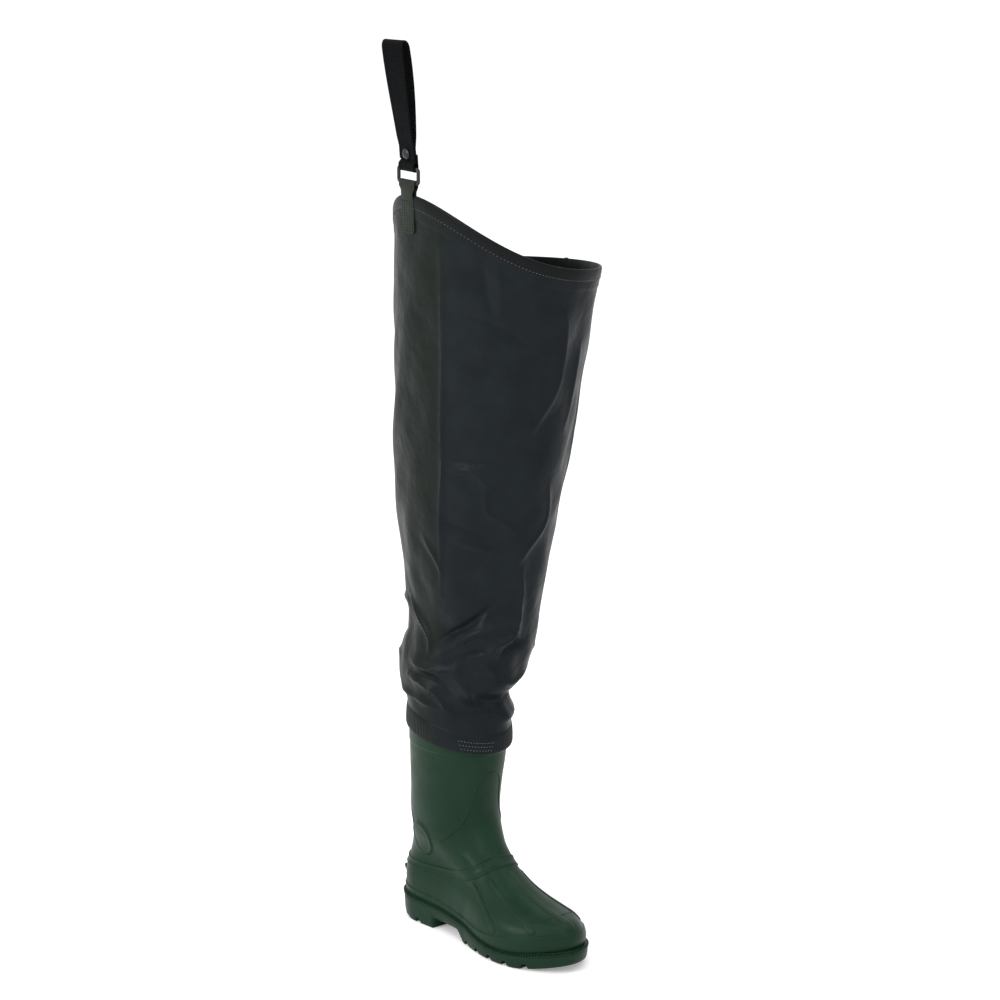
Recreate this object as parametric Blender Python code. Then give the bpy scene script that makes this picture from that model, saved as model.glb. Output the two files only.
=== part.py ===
"""Hip wader for the right leg: a moulded boot, a coated-fabric leg and a belt strap.

Metres, +Z up. The toe points along +X, the outer side of the leg faces -Y, and the
origin is on the floor under the middle of the heel.
"""
import math
from collections import namedtuple

import bmesh
import bpy
from mathutils import Vector

CLEARANCE = 0.0003

# Boot sizes
SOLE_LENGTH = 0.294
BALL_WIDTH = 0.104
HEEL_WIDTH = 0.075
HEEL_BACK = 0.036
HEEL_SEAT = 0.034
FOREPART_SEAT = 0.019
TOE_SPRING = 0.010
INSTEP_HEIGHT = 0.112
BOOT_HEIGHT = 0.262
SHAFT_DEPTH = 0.136
SHAFT_WIDTH = 0.104
SHAFT_INWARD = 0.006
BOOT_WALL = 0.0024
RAND_STEP = 0.0016
RIDGE_STEP = 0.0014
RIDGE_WIDTH = 0.0095
TOP_BAND = 0.036
TOP_BAND_STEP = 0.0008
DISC_RADIUS = 0.022
DISC_STEP = 0.0018
DISC_HEIGHT = 0.108
RIB_STEP = 0.0012
RIB_WIDTH = 0.0090
RIB_SPREAD = 39
RIB_COUNT = 5
SPUR_WIDTH = 0.030
SPUR_REACH = 0.008
SPUR_HEIGHT = 0.012
INSOLE_THICKNESS = 0.004

# Outsole sizes
WELT_REACH = 0.0024
WELT_THICKNESS = 0.0042
WELT_GROOVE = 0.0014
ARCH_CLEARANCE = 0.013
HEEL_BREAST = 0.038
FOREPART_START = 0.088
SPRING_START = 0.195
GROOVE_WIDTH = 0.0065
GROOVE_DEPTH = 0.0055
FOREPART_PITCH = 0.026
FOREPART_GROOVES = 5
HEEL_PITCH = 0.024
HEEL_GROOVES = 2

# Leg sizes
FABRIC = 0.0012
CUFF_BOTTOM = 0.238
CUFF_TILT = 0.010
CUFF_BAND = 0.022
CUFF_STEP = 0.0007
SLUMP_TILT = 0.035
COLLAR_LOW = 0.808
COLLAR_RISE = 0.087
COLLAR_TILT = 0.012
PEAK_TURN = 15
COLLAR_DEPTH = 0.275
COLLAR_WIDTH = 0.212
LEAN_FORWARD = 0.058
LEAN_INWARD = 0.013
HEM_BAND = 0.021
HEM_STEP = 0.0007
SEAM_TAPE = 0.011
SEAM_STEP = 0.0012

# Hanger sizes
RING_INSIDE_WIDTH = 0.0315
RING_INSIDE_HEIGHT = 0.0125
RING_BAR = 0.0042
TAB_WIDTH = 0.028
TAB_OUTSIDE = 0.043
TAB_INSIDE = 0.038
TAB_RISE = 0.013
STRAP_WIDTH = 0.028
WEBBING = 0.0017
STRAP_LENGTH = 0.144
STRAP_BOW = 0.0130
STRAP_LEAN_OUT = 0.012
STRAP_LEAN_BACK = 0.009
STRAP_TAIL = 0.016
SNAP_HEIGHT = 0.016
SNAP_RADIUS = 0.0062
SNAP_CAP = 0.0024

# Mesh counts
BOOT_COLUMNS = 44
LEG_COLUMNS = 48
TOE_REACH = SOLE_LENGTH - HEEL_BACK

Seat = namedtuple("Seat", "along height")
Outline = namedtuple("Outline", "along outer inner")
FootRing = namedtuple("FootRing", "back back_height front front_height cover tail nose shaft")
ShaftRing = namedtuple("ShaftRing", "height back depth width")
LegRing = namedtuple("LegRing", "height depth width forward inward")
Fold = namedtuple("Fold", "height angle tall wide reach slope")

# Where the upper meets the sole: share of length, height.
SEATS = [
    Seat(0.00, HEEL_SEAT),
    Seat(0.22, HEEL_SEAT - 0.05 * HEEL_SEAT),
    Seat(0.45, 0.5 * (HEEL_SEAT + FOREPART_SEAT)),
    Seat(0.65, FOREPART_SEAT),
    Seat(0.82, FOREPART_SEAT + 0.15 * TOE_SPRING),
    Seat(1.00, FOREPART_SEAT + TOE_SPRING),
]

# Half widths of the foot seen from above, before its two ends are rounded.
OUTLINES = [
    Outline(0.00, 0.48 * HEEL_WIDTH, 0.48 * HEEL_WIDTH),
    Outline(0.16, 0.50 * HEEL_WIDTH, 0.50 * HEEL_WIDTH),
    Outline(0.32, 0.48 * HEEL_WIDTH, 0.43 * HEEL_WIDTH),
    Outline(0.46, 0.385 * BALL_WIDTH, 0.32 * BALL_WIDTH),
    Outline(0.60, 0.475 * BALL_WIDTH, 0.42 * BALL_WIDTH),
    Outline(0.71, 0.50 * BALL_WIDTH, 0.50 * BALL_WIDTH),
    Outline(0.82, 0.45 * BALL_WIDTH, 0.51 * BALL_WIDTH),
    Outline(0.92, 0.37 * BALL_WIDTH, 0.47 * BALL_WIDTH),
    Outline(1.00, 0.32 * BALL_WIDTH, 0.46 * BALL_WIDTH),
]

# Slanted rings of the foot, from the sole to the instep. Backs are shares of HEEL_BACK,
# fronts of TOE_REACH and heights of INSTEP_HEIGHT. Tail and nose are the rounded shares.
FOOT_RINGS = [
    FootRing(0.955, HEEL_SEAT / INSTEP_HEIGHT, 0.985, (FOREPART_SEAT + TOE_SPRING) / INSTEP_HEIGHT,
             0.96, 0.14, 0.22, 0.00),
    FootRing(0.990, 0.410, 0.994, 0.345, 0.985, 0.14, 0.23, 0.00),
    FootRing(1.000, 0.520, 0.984, 0.435, 0.965, 0.14, 0.25, 0.00),
    FootRing(0.980, 0.610, 0.950, 0.500, 0.910, 0.15, 0.28, 0.02),
    FootRing(0.940, 0.690, 0.890, 0.535, 0.830, 0.17, 0.33, 0.06),
    FootRing(0.900, 0.770, 0.800, 0.575, 0.750, 0.20, 0.40, 0.14),
    FootRing(0.865, 0.850, 0.695, 0.640, 0.710, 0.25, 0.48, 0.28),
    FootRing(0.840, 0.930, 0.590, 0.740, 0.700, 0.32, 0.56, 0.46),
    FootRing(0.820, 1.010, 0.500, 0.860, 0.720, 0.38, 0.56, 0.66),
    FootRing(0.805, 1.090, 0.425, 1.000, 0.760, 0.44, 0.54, 0.84),
]

# Rings of the boot's shaft. Heights are shares of BOOT_HEIGHT.
SHAFT_RINGS = [
    ShaftRing(0.550, 0.800, 0.900, 0.900),
    ShaftRing(0.680, 0.815, 0.920, 0.925),
    ShaftRing(0.840, 0.820, 0.975, 0.975),
    ShaftRing(1.000, 0.800, 1.000, 1.000),
]

# Rings of the fabric leg, from the boot's top to the collar.
LEG_RINGS = [
    LegRing(0.000, 0.510, 0.510, 0.00, 0.00),
    LegRing(0.055, 0.518, 0.518, 0.00, 0.00),
    LegRing(0.085, 0.540, 0.540, -0.06, -0.06),
    LegRing(0.120, 0.605, 0.605, 0.08, 0.08),
    LegRing(0.160, 0.628, 0.628, 0.20, 0.20),
    LegRing(0.210, 0.625, 0.625, 0.34, 0.34),
    LegRing(0.280, 0.666, 0.666, 0.36, 0.36),
    LegRing(0.365, 0.722, 0.722, 0.37, 0.37),
    LegRing(0.450, 0.770, 0.770, 0.41, 0.41),
    LegRing(0.620, 0.842, 0.842, 0.58, 0.58),
    LegRing(0.790, 0.905, 0.905, 0.73, 0.73),
    LegRing(1.000, 0.988, 0.988, 0.96, 0.96),
]

# Slack folds: share of height, degrees round from the front towards the inner side,
# spread in height share, spread in degrees, how far they stand out, slope.
FOLDS = [
    Fold(0.090, 330, 0.016, 45, -0.030 * SHAFT_WIDTH, 0.01),
    Fold(0.125, 320, 0.018, 50, 0.030 * SHAFT_WIDTH, 0.02),
    Fold(0.185, 300, 0.020, 40, -0.028 * SHAFT_WIDTH, 0.04),
    Fold(0.240, 345, 0.026, 40, 0.024 * SHAFT_WIDTH, -0.05),
    Fold(0.085, 130, 0.016, 45, -0.035 * SHAFT_WIDTH, -0.01),
    Fold(0.125, 140, 0.022, 50, 0.045 * SHAFT_WIDTH, 0.00),
    Fold(0.200, 150, 0.022, 45, -0.035 * SHAFT_WIDTH, 0.03),
    Fold(0.400, 320, 0.050, 35, -0.025 * SHAFT_WIDTH, 0.06),
    Fold(0.560, 345, 0.060, 30, 0.022 * SHAFT_WIDTH, 0.08),
]

Ring = namedtuple("Ring", "back_x back_z front_x front_z cover tail nose half_width shaft")


def smooth(rows, column, at):
    """Reads one column of a table at a place between its rows, on a smooth curve."""
    keys = [row[0] for row in rows]
    values = [getattr(row, column) for row in rows]
    if at <= keys[0]:
        return values[0]
    if at >= keys[-1]:
        return values[-1]
    right = next(i for i, key in enumerate(keys) if key >= at)
    left = right - 1
    span = keys[right] - keys[left]
    share = (at - keys[left]) / span

    def slope(i):
        low, high = max(i - 1, 0), min(i + 1, len(keys) - 1)
        return (values[high] - values[low]) / (keys[high] - keys[low])

    square, cube = share * share, share ** 3
    return (
        (2 * cube - 3 * square + 1) * values[left]
        + (cube - 2 * square + share) * span * slope(left)
        + (3 * square - 2 * cube) * values[right]
        + (cube - square) * span * slope(right)
    )


def ease(share):
    share = min(max(share, 0.0), 1.0)
    return share * share * (3 - 2 * share)


def along_foot(x):
    return (x + HEEL_BACK) / SOLE_LENGTH


def seat_height(x):
    return smooth(SEATS, "height", along_foot(x))


def foot_half_width(x, inner):
    return smooth(OUTLINES, "inner" if inner else "outer", along_foot(x))


def rounding(share, tail, nose):
    """1 along the middle of a ring, falling to 0 on a quarter ellipse at each end."""
    back = min(share / tail, 1.0)
    front = min((1 - share) / nose, 1.0)
    return math.sqrt(max(0.0, (1 - (1 - back) ** 2) * (1 - (1 - front) ** 2)))


def boot_rings():
    rings = [
        Ring(-r.back * HEEL_BACK, r.back_height * INSTEP_HEIGHT, r.front * TOE_REACH,
             r.front_height * INSTEP_HEIGHT, r.cover, r.tail, r.nose, 0.44 * SHAFT_WIDTH, r.shaft)
        for r in FOOT_RINGS
    ]
    for r in SHAFT_RINGS:
        back = -r.back * HEEL_BACK
        height = r.height * BOOT_HEIGHT
        rings.append(Ring(back, height, back + r.depth * SHAFT_DEPTH, height, 0.76, 0.5, 0.5,
                          0.5 * r.width * SHAFT_WIDTH, 1.0))
    return rings


BOOT_RINGS = boot_rings()
NumberedRing = namedtuple("NumberedRing", ("level",) + Ring._fields)
NUMBERED_RINGS = [NumberedRing(i, *ring) for i, ring in enumerate(BOOT_RINGS)]
TOP_LEVEL = len(BOOT_RINGS) - 1


def boot_point(angle, level):
    """A point of the boot's outer surface. Angle 0 is the toe and 90 degrees the inner side."""
    ring = Ring(*(smooth(NUMBERED_RINGS, field, level) for field in Ring._fields))
    share = (1 + math.cos(angle)) / 2
    x = ring.back_x + (ring.front_x - ring.back_x) * share
    level_z = ring.back_z + (ring.front_z - ring.back_z) * share
    low = seat_height(ring.back_x)
    high = seat_height(ring.front_x)
    sag = seat_height(x) - (low + (high - low) * share)
    z = level_z + sag * (1 - ring.shaft)
    inner = math.sin(angle) > 0
    foot = foot_half_width(x, inner) * ring.cover
    half = (foot * (1 - ring.shaft) + ring.half_width * ring.shaft) * rounding(share, ring.tail, ring.nose)
    return Vector((x, (half if inner else -half) + SHAFT_INWARD * ring.shaft, z))


def boot_normal(angle, level):
    step = 0.02
    low, high = max(level - step, 0.0), min(level + step, TOP_LEVEL)
    across = boot_point(angle + step, level) - boot_point(angle - step, level)
    up = boot_point(angle, high) - boot_point(angle, low)
    return across.cross(up).normalized()


def level_at(angle, height):
    """The level where the boot's surface reaches a height on one column, found by halving."""
    low, high = 0.0, float(TOP_LEVEL)
    for _ in range(30):
        middle = (low + high) / 2
        if boot_point(angle, middle).z < height:
            low = middle
        else:
            high = middle
    return low


def boot_angles():
    return [2 * math.pi * i / BOOT_COLUMNS for i in range(BOOT_COLUMNS)]


def rand_level(angle):
    """The level of the rand's top edge: tall at the toe bumper, low at the waist."""
    low, high = 0.0, 4.0
    for _ in range(30):
        middle = (low + high) / 2
        point = boot_point(angle, middle)
        share = along_foot(point.x)
        tall = 0.024 + 0.008 * ease((0.35 - share) / 0.35) + 0.042 * ease((share - 0.42) / 0.5)
        if point.z - seat_height(point.x) < tall * SOLE_LENGTH:
            low = middle
        else:
            high = middle
    return low


def ankle_height(angle):
    """Height of the raised band round the ankle: high at the instep, low along the sides."""
    front = (1 + math.cos(angle)) / 2
    return INSTEP_HEIGHT * (0.59 + 0.30 * front ** 1.5 + 0.05 * (1 - front) ** 3)


def cuff_edge(angle):
    """Height of the cuff's lower edge, higher at the back than at the front."""
    return CUFF_BOTTOM - CUFF_TILT * math.cos(angle)


def raised(angle, level, step):
    return boot_point(angle, level) + boot_normal(angle, level) * step


def outer_boot_rows():
    angles = boot_angles()
    half_ridge = RIDGE_WIDTH / 2

    def row(levels, step):
        return [raised(a, level, step) for a, level in zip(angles, levels)]

    def between(lows, highs, share):
        return [low + (high - low) * share for low, high in zip(lows, highs)]

    bottom = [0.0] * len(angles)
    rand = [rand_level(a) for a in angles]
    under_ridge = [level_at(a, ankle_height(a) - half_ridge) for a in angles]
    low_edge = [level_at(a, ankle_height(a) - half_ridge + RIDGE_STEP) for a in angles]
    high_edge = [level_at(a, ankle_height(a) + half_ridge - RIDGE_STEP) for a in angles]
    over_ridge = [level_at(a, ankle_height(a) + half_ridge) for a in angles]
    band = [level_at(a, BOOT_HEIGHT - TOP_BAND) for a in angles]
    band_edge = [level_at(a, BOOT_HEIGHT - TOP_BAND + TOP_BAND_STEP) for a in angles]
    top = [float(TOP_LEVEL)] * len(angles)
    rows = [row(bottom, RAND_STEP), row(between(bottom, rand, 0.55), RAND_STEP), row(rand, RAND_STEP)]
    rows.append(row(between(rand, under_ridge, 0.03), 0.0))
    rows += [row(between(rand, under_ridge, share), 0.0) for share in (0.17, 0.33, 0.50, 0.67, 0.84, 1.0)]
    rows += [row(low_edge, RIDGE_STEP), row(high_edge, RIDGE_STEP)]
    rows.append(row(over_ridge, 0.0))
    rows += [row(between(over_ridge, band, share), 0.0) for share in (0.18, 0.36, 0.54, 0.77, 1.0)]
    rows += [row(band_edge, TOP_BAND_STEP), row(top, TOP_BAND_STEP)]
    for points in rows[:1]:
        for point in points:
            point.z = seat_height(point.x)
    for point in rows[-1]:
        point.z = BOOT_HEIGHT
    return rows


def inner_boot_rows():
    levels = [0.0, 1.0, 2.0, 3.0, 4.0, 5.0, 6.0, 7.0, 8.0, 9.0, 10.0, 11.5, TOP_LEVEL]
    rows = [[raised(a, level, -BOOT_WALL) for a in boot_angles()] for level in levels]
    for point in rows[0]:
        point.z = seat_height(point.x)
    for point in rows[-1]:
        point.z = BOOT_HEIGHT
    return rows


def ring_tube(name, rows, closed):
    """A mesh of rings joined by quads. A closed tube joins its last ring to its first."""
    mesh = bpy.data.meshes.new(name)
    work = bmesh.new()
    loops = [[work.verts.new(point) for point in row] for row in rows]
    pairs = list(zip(loops, loops[1:]))
    if closed:
        pairs.append((loops[-1], loops[0]))
    for low, high in pairs:
        for i in range(len(low)):
            j = (i + 1) % len(low)
            work.faces.new((low[i], low[j], high[j], high[i]))
    if not closed:
        cap_pairs(work, loops[0], True)
        cap_pairs(work, loops[-1], False)
    bmesh.ops.triangulate(work, faces=work.faces[:], quad_method="SHORT_EDGE")
    bmesh.ops.recalc_face_normals(work, faces=work.faces[:])
    work.to_mesh(mesh)
    work.free()
    shape = bpy.data.objects.new(name, mesh)
    bpy.context.scene.collection.objects.link(shape)
    return shape


def cap_pairs(work, loop, reverse):
    """Closes a ring with strips from its outer side to its inner side."""
    count = len(loop)
    half = count // 2
    for i in range(half):
        corners = [loop[i], loop[i + 1], loop[(count - i - 1) % count], loop[(count - i) % count]]
        unique = list(dict.fromkeys(corners))
        if reverse:
            unique.reverse()
        work.faces.new(unique)


def material(name, colour, roughness, metallic=0.0):
    made = bpy.data.materials.new(name)
    made.use_nodes = True
    shader = made.node_tree.nodes["Principled BSDF"]
    shader.inputs["Base Color"].default_value = (*colour, 1.0)
    shader.inputs["Roughness"].default_value = roughness
    shader.inputs["Metallic"].default_value = metallic
    return made


def finish(shape, surface):
    shape.data.materials.clear()
    shape.data.materials.append(surface)
    shape.data.shade_smooth()
    shape.data.set_sharp_from_angle(angle=math.radians(35))


def combine(target, tool, operation):
    """Applies one Boolean and removes its tool."""
    modifier = target.modifiers.new(operation.lower(), "BOOLEAN")
    modifier.operation = operation
    modifier.solver = "EXACT"
    modifier.object = tool
    graph = bpy.context.evaluated_depsgraph_get()
    result = bpy.data.meshes.new_from_object(target.evaluated_get(graph))
    target.modifiers.clear()
    old = target.data
    target.data = result
    bpy.data.meshes.remove(old)
    bpy.data.objects.remove(tool)


def surface_place(x, z, inner):
    """The angle and level of the boot's surface at one x and height, on one side."""
    angle, level = (1.6 if inner else -1.6), 6.0
    for _ in range(25):
        here = boot_point(angle, level)
        step = 0.01
        turned = boot_point(angle + step, level)
        lifted = boot_point(angle, level + step)
        a, b = (turned.x - here.x) / step, (lifted.x - here.x) / step
        c, d = (turned.z - here.z) / step, (lifted.z - here.z) / step
        off_x, off_z = x - here.x, z - here.z
        size = a * d - b * c
        angle += 0.7 * (d * off_x - b * off_z) / size
        level = min(max(level + 0.7 * (a * off_z - c * off_x) / size, 0.5), TOP_LEVEL - 0.5)
    return angle, level


def ankle_disc(inner):
    """A round pad on the ankle that follows the wall, its face a step proud."""
    sides = 24
    centre_x = HEEL_BACK * 0.45
    sunk = -0.5 * BOOT_WALL
    rows = []
    for radius, step in ((0.25, sunk), (0.65, sunk), (1.0, sunk), (1.0, 0.6 * DISC_STEP), (0.93, DISC_STEP),
                         (0.6, DISC_STEP), (0.25, DISC_STEP)):
        row = []
        for i in range(sides):
            turn = 2 * math.pi * i / sides
            x = centre_x + DISC_RADIUS * radius * math.cos(turn)
            z = DISC_HEIGHT + DISC_RADIUS * radius * math.sin(turn)
            row.append(raised(*surface_place(x, z, inner), step))
        rows.append(row)
    return ring_tube("disc_tool", rows, closed=False)


def heel_spur():
    """The kick-off spur: a wedge on the back of the heel, its root inside the wall."""
    foot = HEEL_SEAT + 0.010
    half = SPUR_WIDTH / 2
    rows = []
    for side in (-half, -0.5 * half, 0.0, 0.5 * half, half):
        bow = FOOT_RINGS[2].tail * SOLE_LENGTH * (1 - math.sqrt(1 - (side / (0.47 * HEEL_WIDTH)) ** 2))
        root = -HEEL_BACK + bow + 0.5 * BOOT_WALL
        edge = -HEEL_BACK - SPUR_REACH + 0.5 * bow
        profile = [(root, foot), (root, foot + 1.4 * SPUR_HEIGHT), (edge, foot + SPUR_HEIGHT),
                   (edge, foot + 0.75 * SPUR_HEIGHT)]
        rows.append([Vector((x, side, z)) for x, z in profile])
    return ring_tube("spur_tool", rows, closed=False)


def vamp_rib(turn):
    """One raised rib of the vamp, from the rand up to the ankle line, its root in the wall."""
    angle = math.radians(turn)
    low = rand_level(angle) + 0.25
    high = level_at(angle, ankle_height(angle) - RIDGE_WIDTH) - 0.1
    stations = 9
    rows = []
    for i in range(stations):
        level = low + (high - low) * i / (stations - 1)
        stretch = (boot_point(angle + 0.01, level) - boot_point(angle - 0.01, level)).length / 0.02
        half = 0.5 * RIB_WIDTH / stretch
        step = RIB_STEP if 0 < i < stations - 1 else 0.1 * RIB_STEP
        rows.append([raised(angle + half * side, level, lift)
                     for side, lift in ((-1, -0.5 * BOOT_WALL), (-0.7, step), (0.7, step), (1, -0.5 * BOOT_WALL))])
    return ring_tube("rib_tool", rows, closed=False)


def make_upper(surface):
    outer = outer_boot_rows()
    inner = inner_boot_rows()
    upper = ring_tube("boot_upper", outer + inner[::-1], closed=True)
    ribs = [vamp_rib(RIB_SPREAD * (i - (RIB_COUNT - 1) / 2)) for i in range(RIB_COUNT)]
    for tool in [ankle_disc(True), ankle_disc(False), heel_spur()] + ribs:
        combine(upper, tool, "UNION")
    finish(upper, surface)


def sole_bottom(x):
    """Height of the tread: heel block, raised waist, flat forepart, toe spring."""
    waist = ease((x - HEEL_BREAST) / 0.003) * (1 - ease((x - FOREPART_START) / (0.05 * SOLE_LENGTH)))
    spring = max(0.0, (x - SPRING_START) / (TOE_REACH - SPRING_START))
    return ARCH_CLEARANCE * waist + TOE_SPRING * spring ** 1.7


def sole_stations():
    """Places along the sole, from toe to heel, close together at the ends and the breast."""
    count = 20
    turns = [math.acos(1 - 2 * i / count) if i in (0, count) else math.pi * i / count for i in range(count + 1)]
    shares = [(1 + math.cos(turn)) / 2 for turn in turns]
    spots = [-HEEL_BACK + share * SOLE_LENGTH for share in shares]
    extra = [HEEL_BREAST, HEEL_BREAST + 0.003, FOREPART_START]
    kept = [x for x in spots if min(abs(x - e) for e in extra) > 0.002]
    return sorted(kept + extra, reverse=True)


def sole_row(stations, reach, height):
    """A closed ring round the sole. Reach is how far it stands out from the upper's edge."""
    base = BOOT_RINGS[0]
    outer, inner = [], []
    low, high = -HEEL_BACK, TOE_REACH
    for x in stations:
        share = (x - low) / (high - low)
        round_off = rounding(share, base.tail, base.nose)
        pull = 1 + reach / (0.5 * SOLE_LENGTH)
        middle = (low + high) / 2
        moved = middle + (x - middle) * pull
        for side, rows in ((False, outer), (True, inner)):
            half = (foot_half_width(x, side) * base.cover + RAND_STEP + reach) * round_off
            rows.append(Vector((moved, half if side else -half, height(x))))
    return inner + outer[-2:0:-1]


def groove(x, length, skew):
    """A cross groove in the tread, wider at the floor than at its root."""
    half, deep = GROOVE_WIDTH / 2, GROOVE_DEPTH
    profile = [(-1.25 * half, -0.01), (1.25 * half, -0.01), (1.25 * half, 0.0), (0.7 * half, deep),
               (-0.7 * half, deep), (-1.25 * half, 0.0)]
    rows = []
    for side in (-1, 0, 1):
        rows.append([Vector((x + dx + skew * (abs(side) - 0.5), side * length / 2, z + sole_bottom(x)))
                     for dx, z in profile])
    return ring_tube("groove_tool", rows, closed=False)


def make_outsole(surface):
    stations = sole_stations()
    rows = [
        sole_row(stations, WELT_REACH, lambda x: seat_height(x) - CLEARANCE),
        sole_row(stations, WELT_REACH, lambda x: seat_height(x) - WELT_THICKNESS),
        sole_row(stations, WELT_REACH - WELT_GROOVE, lambda x: seat_height(x) - WELT_THICKNESS - 0.0012),
        sole_row(stations, WELT_REACH - 0.4 * WELT_GROOVE, lambda x: seat_height(x) - WELT_THICKNESS - 0.0030),
        sole_row(stations, -WELT_GROOVE, sole_bottom),
    ]
    outsole = ring_tube("outsole", rows, closed=False)
    spots = [(FOREPART_START + 0.022 + i * FOREPART_PITCH, 0.006) for i in range(FOREPART_GROOVES)]
    spots += [(0.5 * HEEL_PITCH * (2 * i - 1), -0.004) for i in range(HEEL_GROOVES)]
    for x, skew in spots:
        combine(outsole, groove(x, 1.5 * BALL_WIDTH, skew), "DIFFERENCE")
    finish(outsole, surface)


def make_insole(surface):
    base = BOOT_RINGS[0]
    inset = BOOT_WALL + 3 * CLEARANCE
    rows = []
    for lift in (CLEARANCE, INSOLE_THICKNESS):
        row = []
        for angle in boot_angles():
            point = raised(angle, 0.0, -inset)
            row.append(Vector((point.x, point.y, seat_height(point.x) + lift)))
        rows.append(row)
    finish(ring_tube("insole", rows, closed=False), surface)


def fold_reach(angle, share):
    """How far the slack folds push the leg out at a place."""
    total = 0.0
    for fold in FOLDS:
        turn = (math.degrees(angle) - fold.angle + 180) % 360 - 180
        rise = (share - fold.height - fold.slope * turn / 90) / fold.tall
        total += fold.reach * math.exp(-rise * rise - (turn / fold.wide) ** 2)
    return total


def rim_height(angle):
    """Height of the collar: a peak on the outer side, a little to the back, low inside."""
    from_peak = angle + math.pi / 2 + math.radians(PEAK_TURN)
    peak = ((1 + math.cos(from_peak)) / 2) ** 3.3
    tilt = COLLAR_TILT * math.cos(angle + math.radians(20))
    return COLLAR_LOW + COLLAR_RISE * peak + tilt


def leg_point(angle, share, step=0.0):
    """A point of the leg. Angle 0 is the front and 90 degrees the inner side."""
    inner_front = (1 + math.cos(angle - math.radians(51))) / 2
    slump = SLUMP_TILT * inner_front * ease(share / 0.12) * (1 - ease((share - 0.2) / 0.3))
    ring = {field: smooth(LEG_RINGS, field, share - slump) for field in LegRing._fields}
    boot_x = -SHAFT_RINGS[-1].back * HEEL_BACK + SHAFT_DEPTH / 2
    blend = ease((share - 0.03) / 0.07)
    out = fold_reach(angle, share) * blend
    fit = TOP_BAND_STEP + CLEARANCE + FABRIC + 0.0006
    depth = (1 - blend) * (SHAFT_DEPTH / 2 + fit) + blend * ring["depth"] * COLLAR_DEPTH / 2 + out + step
    width = (1 - blend) * (SHAFT_WIDTH / 2 + fit) + blend * ring["width"] * COLLAR_WIDTH / 2 + out + step
    x = boot_x + LEAN_FORWARD * ring["forward"] + depth * math.cos(angle)
    y = SHAFT_INWARD + LEAN_INWARD * ring["inward"] + width * math.sin(angle)
    z = cuff_edge(angle) + share * (rim_height(angle) - cuff_edge(angle))
    return Vector((x, y, z))


def leg_angles():
    """Even columns, and four more at the two edges of the seam tape on the inner side."""
    angles = [2 * math.pi * i / LEG_COLUMNS for i in range(LEG_COLUMNS)]
    half = SEAM_TAPE / COLLAR_WIDTH
    edges = [math.pi / 2 + side * half * spread for side in (-1, 1) for spread in (1.0, 1.3)]
    clear = 1.6 * half
    return sorted([a for a in angles if abs(a - math.pi / 2) > clear or a == math.pi / 2] + edges)


def on_tape(angle):
    return abs(angle - math.pi / 2) <= 1.05 * SEAM_TAPE / COLLAR_WIDTH


def make_leg(surface):
    height = COLLAR_LOW - CUFF_BOTTOM
    cuff = CUFF_BAND / height
    hem = HEM_BAND / height
    shares = [cuff + 0.004, 0.065, 0.09, 0.115, 0.14, 0.17, 0.20, 0.235, 0.28, 0.34, 0.41, 0.49, 0.57,
              0.66, 0.75, 0.84, 0.92, 1 - hem - 0.004]
    angles = leg_angles()

    def row(share, step):
        return [leg_point(a, share, step + (SEAM_STEP if on_tape(a) and step >= 0 else 0.0)) for a in angles]

    outer = [row(0.0, CUFF_STEP), row(cuff, CUFF_STEP)]
    outer += [row(share, 0.0) for share in shares]
    outer += [row(1 - hem, HEM_STEP), row(1.0, HEM_STEP)]
    inner = [row(share, -FABRIC) for share in [0.0, cuff] + shares]
    inner += [row(1 - hem, -FABRIC - HEM_STEP), row(1.0, -FABRIC - HEM_STEP)]
    finish(ring_tube("fabric_leg", outer + inner[::-1], closed=True), surface)


def hanger_frame():
    """The collar's peak, with the directions along the collar and out from it."""
    angle = -math.pi / 2 - math.radians(PEAK_TURN)
    peak = leg_point(angle, 1.0)
    along = leg_point(angle + 0.02, 1.0) - leg_point(angle - 0.02, 1.0)
    along.z = 0.0
    along.normalize()
    return peak, along, Vector((along.y, -along.x, 0.0))


def hang(across, out, up):
    """A point from its distances along the collar, out from it and above its peak."""
    peak, along, outward = hanger_frame()
    return peak + along * across + outward * out + Vector((0.0, 0.0, up))


def outer_wall(across, up, step):
    """A point of the leg's wall under the peak, from its distance along the collar."""
    peak, along, outward = hanger_frame()
    angle = -math.pi / 2 - math.radians(PEAK_TURN)
    height = peak.z + up
    share = 0.95
    for _ in range(12):
        share = (height - cuff_edge(angle)) / (rim_height(angle) - cuff_edge(angle))
        here = (leg_point(angle, share, step) - peak).dot(along)
        beside = (leg_point(angle + 0.01, share, step) - peak).dot(along)
        angle += (across - here) / ((beside - here) / 0.01)
    point = leg_point(angle, min(share, 1.0), step)
    point.z = height
    return point


def ring_height():
    """Height of the ring's centre above the collar's peak."""
    return TAB_RISE + RING_BAR + RING_INSIDE_HEIGHT / 2


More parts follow.
